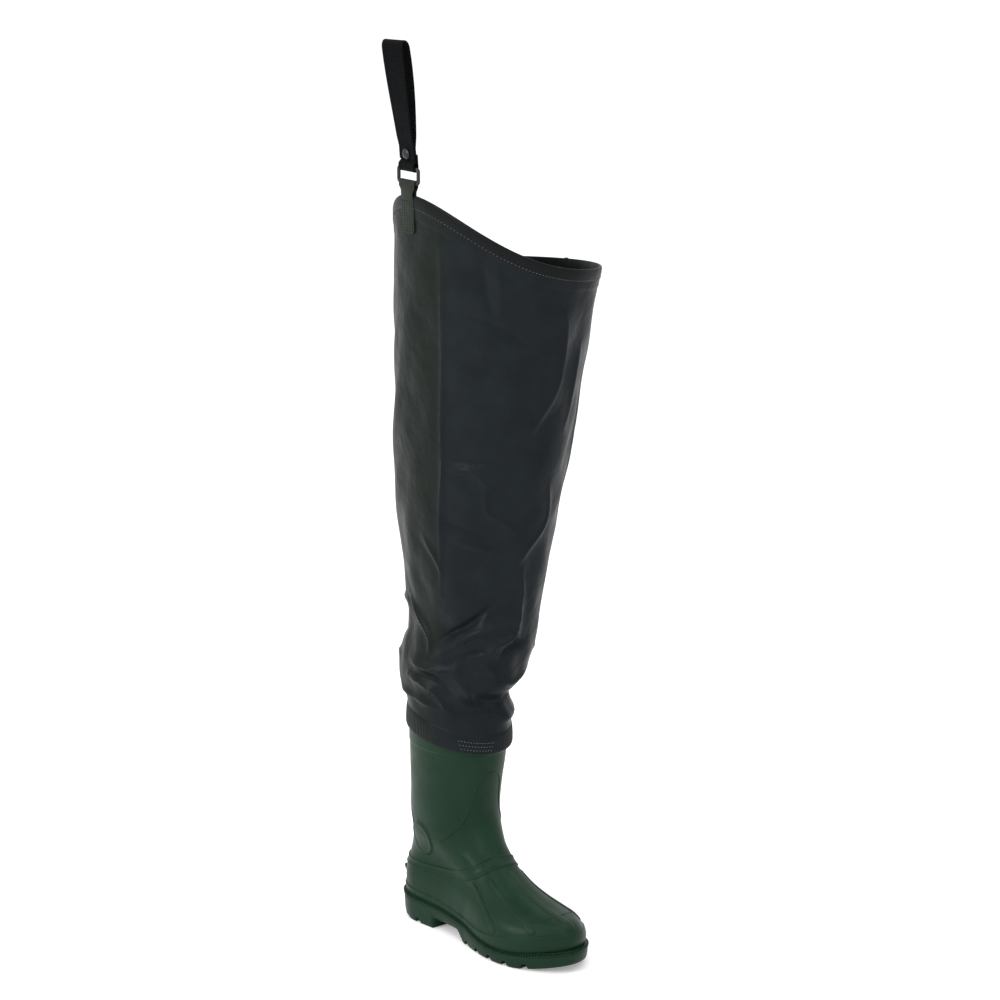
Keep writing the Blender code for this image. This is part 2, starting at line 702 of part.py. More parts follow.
def make_ring(surface):
    """A rounded rectangle of round bar that links the tab to the strap."""
    half_wide = (RING_INSIDE_WIDTH + RING_BAR) / 2
    half_tall = (RING_INSIDE_HEIGHT + RING_BAR) / 2
    corner = 0.75 * RING_BAR
    path = []
    for i, (side, end) in enumerate(((1, 1), (-1, 1), (-1, -1), (1, -1))):
        for j in range(4):
            turn = math.radians(90 * i + 30 * j)
            path.append(hang(side * (half_wide - corner) + corner * math.cos(turn), -FABRIC / 2,
                             ring_height() + end * (half_tall - corner) + corner * math.sin(turn)))
    curve = bpy.data.curves.new("ring", "CURVE")
    curve.dimensions = "3D"
    curve.bevel_depth = RING_BAR / 2
    curve.bevel_resolution = 2
    line = curve.splines.new("POLY")
    line.points.add(len(path) - 1)
    for point, place in zip(line.points, path):
        point.co = (*place, 1.0)
    line.use_cyclic_u = True
    shape = bpy.data.objects.new("link_ring", curve)
    bpy.context.scene.collection.objects.link(shape)
    curve.materials.append(surface)


def ribbon(name, sections, surface):
    """A strip from its cross sections: each is a list of front points and of back points."""
    rows = [front + back[::-1] for front, back in sections]
    mesh = bpy.data.meshes.new(name)
    work = bmesh.new()
    loops = [[work.verts.new(point) for point in row] for row in rows]
    for low, high in zip(loops, loops[1:]):
        for i in range(len(low)):
            j = (i + 1) % len(low)
            work.faces.new((low[i], low[j], high[j], high[i]))
    wide = len(rows[0]) // 2
    for loop in (loops[0], loops[-1]):
        for i in range(wide - 1):
            work.faces.new((loop[i], loop[i + 1], loop[-2 - i], loop[-1 - i]))
    bmesh.ops.triangulate(work, faces=work.faces[:])
    bmesh.ops.recalc_face_normals(work, faces=work.faces[:])
    work.to_mesh(mesh)
    work.free()
    shape = bpy.data.objects.new(name, mesh)
    bpy.context.scene.collection.objects.link(shape)
    finish(shape, surface)


def make_tab(surface):
    """A folded strip of leg fabric, down both faces of the collar and round the ring's bar."""
    bar = ring_height() - (RING_INSIDE_HEIGHT + RING_BAR) / 2
    bend = RING_BAR / 2 + CLEARANCE
    middle = -FABRIC / 2
    across = [TAB_WIDTH * share for share in (-0.5, -0.25, 0.0, 0.25, 0.5)]
    outside = HEM_STEP + CLEARANCE
    inside = -FABRIC - HEM_STEP - CLEARANCE
    sections = []

    def free(out, up, normal_out, normal_up):
        near = [hang(a, out, up) for a in across]
        far = [hang(a, out + normal_out * FABRIC, up + normal_up * FABRIC) for a in across]
        sections.append((near, far))

    def on_wall(up, step):
        away = FABRIC if step > 0 else -FABRIC
        sections.append(([outer_wall(a, up, step) for a in across],
                         [outer_wall(a, up, step + away) for a in across]))

    clear = 0.005
    for share in (1.0, 0.75, 0.5, 0.25, 0.0):
        on_wall(-clear - share * (TAB_OUTSIDE - clear), outside)
    free(outside + 0.0005, 0.002, 1, 0)
    free(middle + bend, bar - 0.003, 1, 0)
    for degrees in (0, 45, 90, 135, 180):
        turn = math.radians(degrees)
        free(middle + bend * math.cos(turn), bar + bend * math.sin(turn), math.cos(turn), math.sin(turn))
    free(middle - bend, bar - 0.003, -1, 0)
    free(inside - 0.0005, 0.002, -1, 0)
    for share in (0.0, 0.25, 0.5, 0.75, 1.0):
        on_wall(-clear - share * (TAB_INSIDE - clear), inside)
    ribbon("hanger_tab", sections, surface)


def strap_line():
    """The strap's middle line as (outward, up) from the ring's upper bar, tail to free end."""
    bend = RING_BAR / 2 + CLEARANCE + WEBBING / 2
    ply = WEBBING + CLEARANCE
    top = STRAP_LENGTH
    route = [(-bend, STRAP_TAIL), (-bend, 0.5 * STRAP_TAIL), (-bend, 0.0)]
    for degrees in (45, 90, 135):
        turn = math.radians(180 + degrees)
        route.append((bend * math.cos(turn), bend * math.sin(turn)))
    lean = [(bend, 0.0), (bend - 0.2 * ply, 0.3 * STRAP_TAIL)]
    seam = -bend + ply
    lean += [(seam, 0.6 * STRAP_TAIL), (seam, 1.1 * STRAP_TAIL), (seam, 1.5 * STRAP_TAIL)]
    route += lean
    bows = ((0.25, 0.15), (0.40, 0.28), (0.60, 0.42), (0.78, 0.50), (0.90, 0.50), (0.965, 0.42))
    middle = seam + ply / 2
    for share, bow in bows:
        route.append((middle - ply / 2 - STRAP_BOW * bow, share * top))
    route.append((middle - 0.2 * STRAP_BOW, top * 0.994))
    route.append((middle + 0.2 * STRAP_BOW, top * 0.994))
    for share, bow in reversed(bows):
        route.append((middle + ply / 2 + STRAP_BOW * bow, share * top))
    route += [(seam + ply, 1.5 * STRAP_TAIL), (seam + ply, 1.1 * STRAP_TAIL), (seam + ply, 0.62 * STRAP_TAIL)]
    return route


def strap_place(out, up, across):
    bar = ring_height() + (RING_INSIDE_HEIGHT + RING_BAR) / 2
    share = max(up, 0.0) / STRAP_LENGTH
    return hang(across - STRAP_LEAN_BACK * share, out - FABRIC / 2 + STRAP_LEAN_OUT * share ** 1.5, bar + up)


def make_strap(surface):
    route = [Vector(point) for point in strap_line()]
    half = WEBBING / 2
    sections = []
    for i, point in enumerate(route):
        before = route[max(i - 1, 0)]
        after = route[min(i + 1, len(route) - 1)]
        way = (after - before).normalized()
        side = Vector((way.y, -way.x)) * half
        front = [strap_place(*(point + side), x) for x in (-STRAP_WIDTH / 2, STRAP_WIDTH / 2)]
        back = [strap_place(*(point - side), x) for x in (-STRAP_WIDTH / 2, STRAP_WIDTH / 2)]
        sections.append((front, back))
    ribbon("belt_strap", sections, surface)


def turned_button(name, profile, place, surface):
    """A round button from (radius, distance out) pairs, closed at both ends."""
    sides = 16
    rows = [[place(r * math.cos(2 * math.pi * i / sides), y, r * math.sin(2 * math.pi * i / sides))
             for i in range(sides)] for r, y in profile]
    finish(ring_tube(name, rows, closed=False), surface)


def make_snap(surface):
    """The press stud: a domed cap on the free ply and a flat post plate behind the tail."""
    bend = RING_BAR / 2 + CLEARANCE + WEBBING / 2
    ply = WEBBING + CLEARANCE
    outer_face = -bend + 2 * ply + WEBBING / 2 + 2 * CLEARANCE
    inner_face = -bend - WEBBING / 2 - 2 * CLEARANCE

    def before(across, out, up):
        return strap_place(outer_face + out, SNAP_HEIGHT + up, across)

    def behind(across, out, up):
        return strap_place(inner_face - out, 0.6 * SNAP_HEIGHT + up, across)

    cap = [(SNAP_RADIUS, 0.0), (SNAP_RADIUS, 0.3 * SNAP_CAP), (0.85 * SNAP_RADIUS, 0.8 * SNAP_CAP),
           (0.4 * SNAP_RADIUS, SNAP_CAP)]
    turned_button("snap_cap", cap, before, surface)
    post = [(0.8 * SNAP_RADIUS, 0.0), (0.8 * SNAP_RADIUS, 0.0008), (0.5 * SNAP_RADIUS, 0.0014)]
    turned_button("snap_post", post, behind, surface)


def main():
    for shape in list(bpy.data.objects):
        bpy.data.objects.remove(shape)
    moulded = material("moulded_green_vinyl", (0.020, 0.055, 0.031), 0.38)
    coated = material("coated_dark_fabric", (0.017, 0.020, 0.020), 0.45)
    webbing = material("black_webbing", (0.006, 0.006, 0.008), 0.85)
    black = material("black_acetal", (0.010, 0.011, 0.012), 0.40)
    lacquer = material("lacquered_brass", (0.030, 0.030, 0.032), 0.30, 0.8)
    lining = material("grey_insole_felt", (0.045, 0.048, 0.045), 0.90)
    make_upper(moulded)
    make_outsole(moulded)
    make_insole(lining)
    make_leg(coated)
    make_tab(coated)
    make_ring(black)
    make_strap(webbing)
    make_snap(lacquer)


main()
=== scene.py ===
"""Hip wader for the right leg, dressed for its picture and laid out as an add-on.

Metres, +Z up. The toe points along +X, the outer side of the leg faces -Y, and the
origin is on the floor under the middle of the heel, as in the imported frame.
"""
import math
from collections import namedtuple

import bmesh
import bpy
import numpy as np
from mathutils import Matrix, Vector


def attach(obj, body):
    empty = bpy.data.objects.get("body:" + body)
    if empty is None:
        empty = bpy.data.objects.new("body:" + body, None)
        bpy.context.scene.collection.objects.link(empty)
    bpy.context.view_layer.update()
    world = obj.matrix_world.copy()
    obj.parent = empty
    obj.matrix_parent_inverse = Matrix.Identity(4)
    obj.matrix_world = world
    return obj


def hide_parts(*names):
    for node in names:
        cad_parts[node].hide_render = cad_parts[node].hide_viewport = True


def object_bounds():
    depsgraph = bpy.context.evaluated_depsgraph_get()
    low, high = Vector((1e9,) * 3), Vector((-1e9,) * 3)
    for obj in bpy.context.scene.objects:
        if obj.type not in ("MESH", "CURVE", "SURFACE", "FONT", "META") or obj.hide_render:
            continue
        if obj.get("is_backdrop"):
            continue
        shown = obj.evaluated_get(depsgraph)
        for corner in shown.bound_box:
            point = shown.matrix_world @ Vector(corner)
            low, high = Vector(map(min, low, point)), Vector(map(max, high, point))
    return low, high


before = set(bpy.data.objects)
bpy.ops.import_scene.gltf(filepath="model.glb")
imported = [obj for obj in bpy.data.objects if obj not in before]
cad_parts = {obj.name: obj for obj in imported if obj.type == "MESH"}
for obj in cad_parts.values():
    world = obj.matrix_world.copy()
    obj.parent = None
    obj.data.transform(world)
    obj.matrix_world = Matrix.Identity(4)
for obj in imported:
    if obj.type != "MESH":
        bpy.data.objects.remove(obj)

bl_info = {
    "name": "Hip wader",
    "version": (1, 0, 0),
    "blender": (4, 5, 0),
    "location": "3D View > Sidebar > Wader",
    "description": "Builds a hip wader: moulded boot, coated fabric leg, belt strap and studio",
    "category": "Add Mesh",
}

CLEARANCE = 0.0003

# Boot sizes, as in the frame
SOLE_LENGTH = 0.294
BALL_WIDTH = 0.104
HEEL_WIDTH = 0.075
HEEL_BACK = 0.036
HEEL_SEAT = 0.034
FOREPART_SEAT = 0.019
TOE_SPRING = 0.010
INSTEP_HEIGHT = 0.112
BOOT_HEIGHT = 0.262
SHAFT_DEPTH = 0.136
SHAFT_WIDTH = 0.104
SHAFT_INWARD = 0.006
BOOT_WALL = 0.0024
RAND_STEP = 0.0016
RIDGE_STEP = 0.0014
RIDGE_WIDTH = 0.0095
TOP_BAND = 0.036
TOP_BAND_STEP = 0.0008
DISC_RADIUS = 0.022
DISC_STEP = 0.0018
DISC_HEIGHT = 0.108
DISC_FORWARD = 0.45 * HEEL_BACK
SPUR_WIDTH = 0.030
SPUR_REACH = 0.008
INSOLE_THICKNESS = 0.004
TOE_REACH = SOLE_LENGTH - HEEL_BACK

# Outsole sizes, as in the frame
WELT_REACH = 0.0024
WELT_THICKNESS = 0.0042
WELT_GROOVE = 0.0014
ARCH_CLEARANCE = 0.013
HEEL_BREAST = 0.038
FOREPART_START = 0.088
SPRING_START = 0.195
GROOVE_WIDTH = 0.0065
GROOVE_DEPTH = 0.0055
FOREPART_PITCH = 0.026
FOREPART_GROOVES = 5
HEEL_PITCH = 0.024
HEEL_GROOVES = 2

# Leg sizes, as in the frame
FABRIC = 0.0012
CUFF_BOTTOM = 0.238
CUFF_TILT = 0.010
CUFF_BAND = 0.022
CUFF_STEP = 0.0007
SLUMP_TILT = 0.035
COLLAR_LOW = 0.808
COLLAR_RISE = 0.087
COLLAR_TILT = 0.012
PEAK_TURN = 15
COLLAR_DEPTH = 0.275
COLLAR_WIDTH = 0.212
LEAN_FORWARD = 0.058
LEAN_INWARD = 0.013
HEM_BAND = 0.021
HEM_STEP = 0.0007
SEAM_TAPE = 0.011
SEAM_STEP = 0.0012
LEG_HEIGHT = COLLAR_LOW - CUFF_BOTTOM

# Hanger sizes, as in the frame
RING_INSIDE_WIDTH = 0.0315
RING_INSIDE_HEIGHT = 0.0125
RING_BAR = 0.0042
TAB_WIDTH = 0.028
TAB_OUTSIDE = 0.043
TAB_INSIDE = 0.038
TAB_RISE = 0.013
STRAP_WIDTH = 0.028
WEBBING = 0.0017
STRAP_LENGTH = 0.144
STRAP_BOW = 0.0130
STRAP_LEAN_OUT = 0.012
STRAP_LEAN_BACK = 0.009
STRAP_TAIL = 0.016
SNAP_HEIGHT = 0.016
SNAP_RADIUS = 0.0062
SNAP_CAP = 0.0024

# Heights of the rand as shares of SOLE_LENGTH: at the waist, and what heel and toe add
RAND_WAIST = 0.024
RAND_HEEL = 0.008
RAND_TOE = 0.042

# Values worked out from the sizes
PEAK_ANGLE = -math.pi / 2 - math.radians(PEAK_TURN)
CUFF_SHARE = CUFF_BAND / LEG_HEIGHT
HEM_SHARE = HEM_BAND / LEG_HEIGHT
RING_HALF = (RING_INSIDE_HEIGHT + RING_BAR) / 2
RING_HEIGHT = TAB_RISE + RING_BAR + RING_INSIDE_HEIGHT / 2
STRAP_BEND = RING_BAR / 2 + CLEARANCE + WEBBING / 2
STRAP_PLY = WEBBING + CLEARANCE

# The scene's own details: the tread's cuts, the welt's teeth, the spur's heights above the
# heel's seat and its ripple, the cuff's ribs, the cloth's lower edge, the stud's plate, the
# threads and their rows, and the tab's patch. Then the degrees by which the limp hanger
# turns toward the toe, up to the ring and above the stud.
CUT_DEEPER = 1.2
CUT_MOUTH = 0.70
CUT_SLOPE = 0.34
TOOTH_SUNK = -0.0022
SPUR_FOOT = 0.0105
SPUR_TOP = 0.0215
SPUR_RIPPLE = 0.0045
CUFF_RIB = 0.00035
CLOTH_BOTTOM = 0.006
SNAP_PLATE = 0.0014
HEM_THREAD = 0.00022
CUFF_THREAD = 0.00032
CUFF_STITCH_TURN = -27
TAB_STITCH_HALF = 0.0115
TAB_THREAD = 0.00036
TAB_CORNER = 0.0065
TAB_TURN_START = 0.004
HANGER_TURN = 11.0
STRAP_TURN = 18.0

# The stage: the floor's size and how bright it is to the camera, the sky, the place that
# the camera circles, and the lamps' places and sizes. Their powers are in the studio's looks.
FLOOR_SIZE = 40.0
FLOOR_GLOW = 0.26
SKY_STRENGTH = 0.85
ANKLE = (0.03, 0.0, 0.0)
Lamp = namedtuple("Lamp", "look place size")
LAMPS = [
    Lamp("key", (-0.6, -3.6, 2.2), 1.4),
    Lamp("front", (3.4, -2.2, 3.0), 1.2),
    Lamp("top", (0.0, 0.0, 4.5), 5.0),
]

Seat = namedtuple("Seat", "along height")
Outline = namedtuple("Outline", "along outer inner")
FootRing = namedtuple("FootRing", "back back_height front front_height cover tail nose shaft")
ShaftRing = namedtuple("ShaftRing", "height back depth width")
LegRing = namedtuple("LegRing", "height depth width forward inward")
Fold = namedtuple("Fold", "height angle tall wide reach slope")
Crease = namedtuple("Crease", "lift width route")

# Where the upper meets the sole: share of length, height.
SEATS = [
    Seat(0.00, HEEL_SEAT),
    Seat(0.22, HEEL_SEAT - 0.05 * HEEL_SEAT),
    Seat(0.45, 0.5 * (HEEL_SEAT + FOREPART_SEAT)),
    Seat(0.65, FOREPART_SEAT),
    Seat(0.82, FOREPART_SEAT + 0.15 * TOE_SPRING),
    Seat(1.00, FOREPART_SEAT + TOE_SPRING),
]

# Half widths of the foot seen from above, before its two ends are rounded.
OUTLINES = [
    Outline(0.00, 0.48 * HEEL_WIDTH, 0.48 * HEEL_WIDTH),
    Outline(0.16, 0.50 * HEEL_WIDTH, 0.50 * HEEL_WIDTH),
    Outline(0.32, 0.48 * HEEL_WIDTH, 0.43 * HEEL_WIDTH),
    Outline(0.46, 0.385 * BALL_WIDTH, 0.32 * BALL_WIDTH),
    Outline(0.60, 0.475 * BALL_WIDTH, 0.42 * BALL_WIDTH),
    Outline(0.71, 0.50 * BALL_WIDTH, 0.50 * BALL_WIDTH),
    Outline(0.82, 0.45 * BALL_WIDTH, 0.51 * BALL_WIDTH),
    Outline(0.92, 0.37 * BALL_WIDTH, 0.47 * BALL_WIDTH),
    Outline(1.00, 0.32 * BALL_WIDTH, 0.46 * BALL_WIDTH),
]

# Slanted rings of the foot, from the sole to the instep. Backs are shares of HEEL_BACK,
# fronts of TOE_REACH and heights of INSTEP_HEIGHT. Tail and nose are the rounded shares.
FOOT_RINGS = [
    FootRing(0.955, HEEL_SEAT / INSTEP_HEIGHT, 0.985, (FOREPART_SEAT + TOE_SPRING) / INSTEP_HEIGHT,
             0.96, 0.14, 0.22, 0.00),
    FootRing(0.990, 0.410, 0.994, 0.345, 0.985, 0.14, 0.23, 0.00),
    FootRing(1.000, 0.520, 0.984, 0.435, 0.965, 0.14, 0.25, 0.00),
    FootRing(0.980, 0.610, 0.950, 0.500, 0.910, 0.15, 0.28, 0.02),
    FootRing(0.940, 0.690, 0.890, 0.535, 0.830, 0.17, 0.33, 0.06),
    FootRing(0.900, 0.770, 0.800, 0.575, 0.750, 0.20, 0.40, 0.14),
    FootRing(0.865, 0.850, 0.695, 0.640, 0.710, 0.25, 0.48, 0.28),
    FootRing(0.840, 0.930, 0.590, 0.740, 0.700, 0.32, 0.56, 0.46),
    FootRing(0.820, 1.010, 0.500, 0.860, 0.720, 0.38, 0.56, 0.66),
    FootRing(0.805, 1.090, 0.425, 1.000, 0.760, 0.44, 0.54, 0.84),
]

# Rings of the boot's shaft. Heights are shares of BOOT_HEIGHT.
SHAFT_RINGS = [
    ShaftRing(0.550, 0.800, 0.900, 0.900),
    ShaftRing(0.680, 0.815, 0.920, 0.925),
    ShaftRing(0.840, 0.820, 0.975, 0.975),
    ShaftRing(1.000, 0.800, 1.000, 1.000),
]

# Rings of the fabric leg, from the boot's top to the collar.
LEG_RINGS = [
    LegRing(0.000, 0.510, 0.510, 0.00, 0.00),
    LegRing(0.055, 0.518, 0.518, 0.00, 0.00),
    LegRing(0.085, 0.540, 0.540, -0.06, -0.06),
    LegRing(0.120, 0.605, 0.605, 0.08, 0.08),
    LegRing(0.160, 0.628, 0.628, 0.20, 0.20),
    LegRing(0.210, 0.625, 0.625, 0.34, 0.34),
    LegRing(0.280, 0.666, 0.666, 0.36, 0.36),
    LegRing(0.365, 0.722, 0.722, 0.37, 0.37),
    LegRing(0.450, 0.770, 0.770, 0.41, 0.41),
    LegRing(0.620, 0.842, 0.842, 0.58, 0.58),
    LegRing(0.790, 0.905, 0.905, 0.73, 0.73),
    LegRing(1.000, 0.988, 0.988, 0.96, 0.96),
]

# Slack folds, as in the frame: share of height, degrees round from the front towards the
# inner side, spread in height share, spread in degrees, how far they stand out, slope.
FOLDS = [
    Fold(0.090, 330, 0.016, 45, -0.030 * SHAFT_WIDTH, 0.01),
    Fold(0.125, 320, 0.018, 50, 0.030 * SHAFT_WIDTH, 0.02),
    Fold(0.185, 300, 0.020, 40, -0.028 * SHAFT_WIDTH, 0.04),
    Fold(0.240, 345, 0.026, 40, 0.024 * SHAFT_WIDTH, -0.05),
    Fold(0.085, 130, 0.016, 45, -0.035 * SHAFT_WIDTH, -0.01),
    Fold(0.125, 140, 0.022, 50, 0.045 * SHAFT_WIDTH, 0.00),
    Fold(0.200, 150, 0.022, 45, -0.035 * SHAFT_WIDTH, 0.03),
    Fold(0.400, 320, 0.050, 35, -0.025 * SHAFT_WIDTH, 0.06),
    Fold(0.560, 345, 0.060, 30, 0.022 * SHAFT_WIDTH, 0.08),
]

# Creases: how far they stand out as a share of the ankle folds' reach, half width as a share of the cuff
# band, and their route as degrees from the front, share of height.
CREASE_REACH = 0.052 * SHAFT_WIDTH
CREASES = [
    Crease(0.42, 0.20, [(-80, 0.969), (-76, 0.838), (-74, 0.631), (-72, 0.538), (-72, 0.40), (-74, 0.30)]),
    Crease(0.75, 0.26, [(-122, 0.269), (-106, 0.238), (-88, 0.206), (-86, 0.175)]),
    Crease(1.10, 0.42, [(-32, 0.20), (-26, 0.238), (-10, 0.262), (-6, 0.331), (-8, 0.394)]),
    Crease(0.95, 0.34, [(-80, 0.175), (-64, 0.212), (-42, 0.256), (-16, 0.275)]),
    Crease(0.90, 0.36, [(-34, 0.194), (-20, 0.175), (0, 0.156), (34, 0.170)]),
    Crease(0.80, 0.30, [(-108, 0.15), (-84, 0.148), (-58, 0.162)]),
    Crease(0.80, 0.28, [(-106, 0.119), (-74, 0.112), (-56, 0.080)]),
    Crease(0.55, 0.26, [(-130, 0.078), (-96, 0.078), (-62, 0.078)]),
    Crease(0.65, 0.26, [(-56, 0.156), (-40, 0.131), (-28, 0.100)]),
    Crease(0.52, 0.26, [(-42, 0.544), (-40, 0.50), (-28, 0.488), (-8, 0.456)]),
    Crease(0.45, 0.24, [(-66, 0.544), (-50, 0.562), (-38, 0.544)]),
    Crease(0.52, 0.30, [(6, 0.569), (10, 0.50), (-6, 0.438), (-18, 0.388)]),
    Crease(0.48, 0.26, [(-88, 0.394), (-78, 0.369), (-72, 0.344)]),
    Crease(0.45, 0.34, [(-46, 0.975), (-44, 0.944), (-42, 0.881)]),
    Crease(0.50, 0.42, [(-6, 0.931), (0, 0.888), (2, 0.788), (-12, 0.70), (-24, 0.644)]),
    Crease(0.45, 0.40, [(22, 0.856), (18, 0.80), (18, 0.725), (14, 0.681)]),
    Crease(0.40, 0.32, [(-20, 0.975), (-8, 0.931)]),
    Crease(0.42, 0.26, [(-64, 0.419), (-28, 0.425)]),
    Crease(-1.15, 0.34, [(-82, 0.200), (-66, 0.232), (-48, 0.269), (-28, 0.325)]),
    Crease(-1.20, 0.42, [(-20, 0.212), (-10, 0.235), (8, 0.245)]),
    Crease(-0.70, 0.26, [(-60, 0.185), (-40, 0.215), (-30, 0.225)]),
    Crease(-0.50, 0.36, [(-54, 0.955), (-50, 0.90), (-46, 0.865)]),
    Crease(-0.42, 0.28, [(-62, 0.840), (-46, 0.852), (-20, 0.842)]),
    Crease(-0.45, 0.26, [(-70, 0.562), (-30, 0.606)]),
    Crease(-0.45, 0.28, [(-68, 0.444), (-40, 0.452)]),
    Crease(-0.60, 0.28, [(-100, 0.132), (-70, 0.132), (-44, 0.112)]),
    Crease(-0.55, 0.26, [(-30, 0.128), (0, 0.112), (34, 0.125)]),
    Crease(1.00, 0.60, [(-12, 0.078), (25, 0.070), (80, 0.076)]),
    Crease(0.80, 0.36, [(60, 0.120), (85, 0.145), (115, 0.150), (140, 0.125)]),
    Crease(-0.85, 0.34, [(48, 0.165), (80, 0.185), (118, 0.200), (150, 0.180)]),
    Crease(0.85, 0.38, [(40, 0.215), (75, 0.235), (110, 0.250), (150, 0.235)]),
    Crease(-0.60, 0.34, [(60, 0.290), (95, 0.300), (130, 0.275)]),
    Crease(0.55, 0.42, [(45, 0.420), (50, 0.560), (46, 0.720), (50, 0.900)]),
    Crease(0.48, 0.36, [(120, 0.360), (132, 0.470), (126, 0.600)]),
    Crease(-0.42, 0.40, [(110, 0.640), (128, 0.720), (120, 0.820)]),
    Crease(0.55, 0.40, [(165, 0.320), (182, 0.440), (176, 0.580)]),
    Crease(0.80, 0.32, [(160, 0.130), (190, 0.150), (222, 0.140)]),
    Crease(-0.85, 0.34, [(155, 0.185), (188, 0.205), (226, 0.190)]),
    Crease(0.75, 0.34, [(165, 0.245), (196, 0.262), (232, 0.250)]),
    Crease(-0.45, 0.36, [(200, 0.560), (215, 0.640), (208, 0.760)]),
    Crease(0.45, 0.38, [(190, 0.780), (184, 0.860), (192, 0.950)]),
]

Ring = namedtuple("Ring", "back_x back_z front_x front_z cover tail nose half_width shaft")


def smooth(rows, column, at):
    """Reads one column of a table at places between its rows, on a smooth curve."""
    keys = np.array([row[0] for row in rows])
    values = np.array([getattr(row, column) for row in rows])
    count = len(keys)
    low = np.maximum(np.arange(count) - 1, 0)
    high = np.minimum(np.arange(count) + 1, count - 1)
    slopes = (values[high] - values[low]) / (keys[high] - keys[low])
    at = np.clip(at, keys[0], keys[-1])
    right = np.clip(np.searchsorted(keys, at), 1, count - 1)
    left = right - 1
    span = keys[right] - keys[left]
    share = (at - keys[left]) / span
    square, cube = share * share, share ** 3
    return (
        (2 * cube - 3 * square + 1) * values[left]
        + (cube - 2 * square + share) * span * slopes[left]
        + (3 * square - 2 * cube) * values[right]
        + (cube - square) * span * slopes[right]
    )


def ease(share):
    """A smooth step from 0 to 1."""
    share = np.clip(share, 0.0, 1.0)
    return share * share * (3 - 2 * share)


def points_of(x, y, z):
    """Points from their three coordinates."""
    return np.stack(np.broadcast_arrays(x, y, z), axis=-1).astype(float)


def unit(ways):
    """Directions scaled to length 1."""
    return ways / np.maximum(np.linalg.norm(ways, axis=-1, keepdims=True), 1e-12)


def degrees_from(angle, middle):
    """Degrees round from a middle in degrees, between -180 and 180."""
    return (np.degrees(angle) - middle + 180) % 360 - 180


def run_along(points):
    """How far along a line each of its points lies."""
    return np.concatenate([[0.0], np.cumsum(np.linalg.norm(np.diff(points, axis=0), axis=1))])


def along_foot(x):
    """Share of the sole's length, from the heel."""
    return (x + HEEL_BACK) / SOLE_LENGTH


def seat_height(x):
    """Height at which the upper meets the sole."""
    return smooth(SEATS, "height", along_foot(x))


def foot_half_width(x, inner):
    """Half width of the foot on its inner or its outer side."""
    return np.where(inner, smooth(OUTLINES, "inner", along_foot(x)), smooth(OUTLINES, "outer", along_foot(x)))


def rounding(share, tail, nose):
    """1 along the middle of a ring, falling to 0 on a quarter ellipse at each end."""
    back = np.clip(share / tail, 0.0, 1.0)
    front = np.clip((1 - share) / nose, 0.0, 1.0)
    return np.sqrt(np.maximum(0.0, (1 - (1 - back) ** 2) * (1 - (1 - front) ** 2)))


def boot_rings():
    """All rings of the boot in metres, from the sole to the top."""
    rings = [
        Ring(-r.back * HEEL_BACK, r.back_height * INSTEP_HEIGHT, r.front * TOE_REACH,
             r.front_height * INSTEP_HEIGHT, r.cover, r.tail, r.nose, 0.44 * SHAFT_WIDTH, r.shaft)
        for r in FOOT_RINGS
    ]
    for r in SHAFT_RINGS:
        back = -r.back * HEEL_BACK
        height = r.height * BOOT_HEIGHT
        rings.append(Ring(back, height, back + r.depth * SHAFT_DEPTH, height, 0.76, 0.5, 0.5,
                          0.5 * r.width * SHAFT_WIDTH, 1.0))
    return rings


BOOT_RINGS = boot_rings()
NumberedRing = namedtuple("NumberedRing", ("level",) + Ring._fields)
NUMBERED_RINGS = [NumberedRing(i, *ring) for i, ring in enumerate(BOOT_RINGS)]
TOP_LEVEL = len(BOOT_RINGS) - 1


def boot_surface(angle, level):
    """Points of the boot's outer surface. Angle 0 is the toe and 90 degrees the inner side."""
    ring = Ring(*(smooth(NUMBERED_RINGS, field, level) for field in Ring._fields))
    share = (1 + np.cos(angle)) / 2
    x = ring.back_x + (ring.front_x - ring.back_x) * share
    level_z = ring.back_z + (ring.front_z - ring.back_z) * share
    low = seat_height(ring.back_x)
    high = seat_height(ring.front_x)
    sag = seat_height(x) - (low + (high - low) * share)
    z = level_z + sag * (1 - ring.shaft)
    inner = np.sin(angle) > 0
    foot = foot_half_width(x, inner) * ring.cover
    half = (foot * (1 - ring.shaft) + ring.half_width * ring.shaft) * rounding(share, ring.tail, ring.nose)
    return points_of(x, np.where(inner, half, -half) + SHAFT_INWARD * ring.shaft, z)


def raised(angle, level, step):
    """Points a step out from the boot's surface."""
    turn = 0.02
    across = boot_surface(angle + turn, level) - boot_surface(angle - turn, level)
    up = (boot_surface(angle, np.minimum(level + turn, TOP_LEVEL))
          - boot_surface(angle, np.maximum(level - turn, 0.0)))
    return boot_surface(angle, level) + unit(np.cross(across, up)) * np.asarray(step)[..., None]


def halved(reached, top):
    """Finds by halving the levels where reached() turns from True to False."""
    low, high = np.zeros_like(top), np.array(top)
    for _ in range(30):
        middle = (low + high) / 2
        under = reached(middle)
        low, high = np.where(under, middle, low), np.where(under, high, middle)
    return low


def level_at(angle, height):
    """The levels where the boot's surface reaches a height."""
    angle, height = np.broadcast_arrays(np.asarray(angle, float), height)
    top = np.full(angle.shape, float(TOP_LEVEL))
    return halved(lambda level: boot_surface(angle, level)[..., 2] < height, top)


def rand_level(angle):
    """The levels of the rand's top edge: tall at the toe bumper, low at the waist."""
    def under(level):
        """Whether a level is still below the rand's top edge."""
        point = boot_surface(angle, level)
        share = along_foot(point[..., 0])
        tall = RAND_WAIST + RAND_HEEL * ease((0.35 - share) / 0.35) + RAND_TOE * ease((share - 0.42) / 0.5)
        return point[..., 2] - seat_height(point[..., 0]) < tall * SOLE_LENGTH
    return halved(under, np.full(np.shape(angle), 4.0))


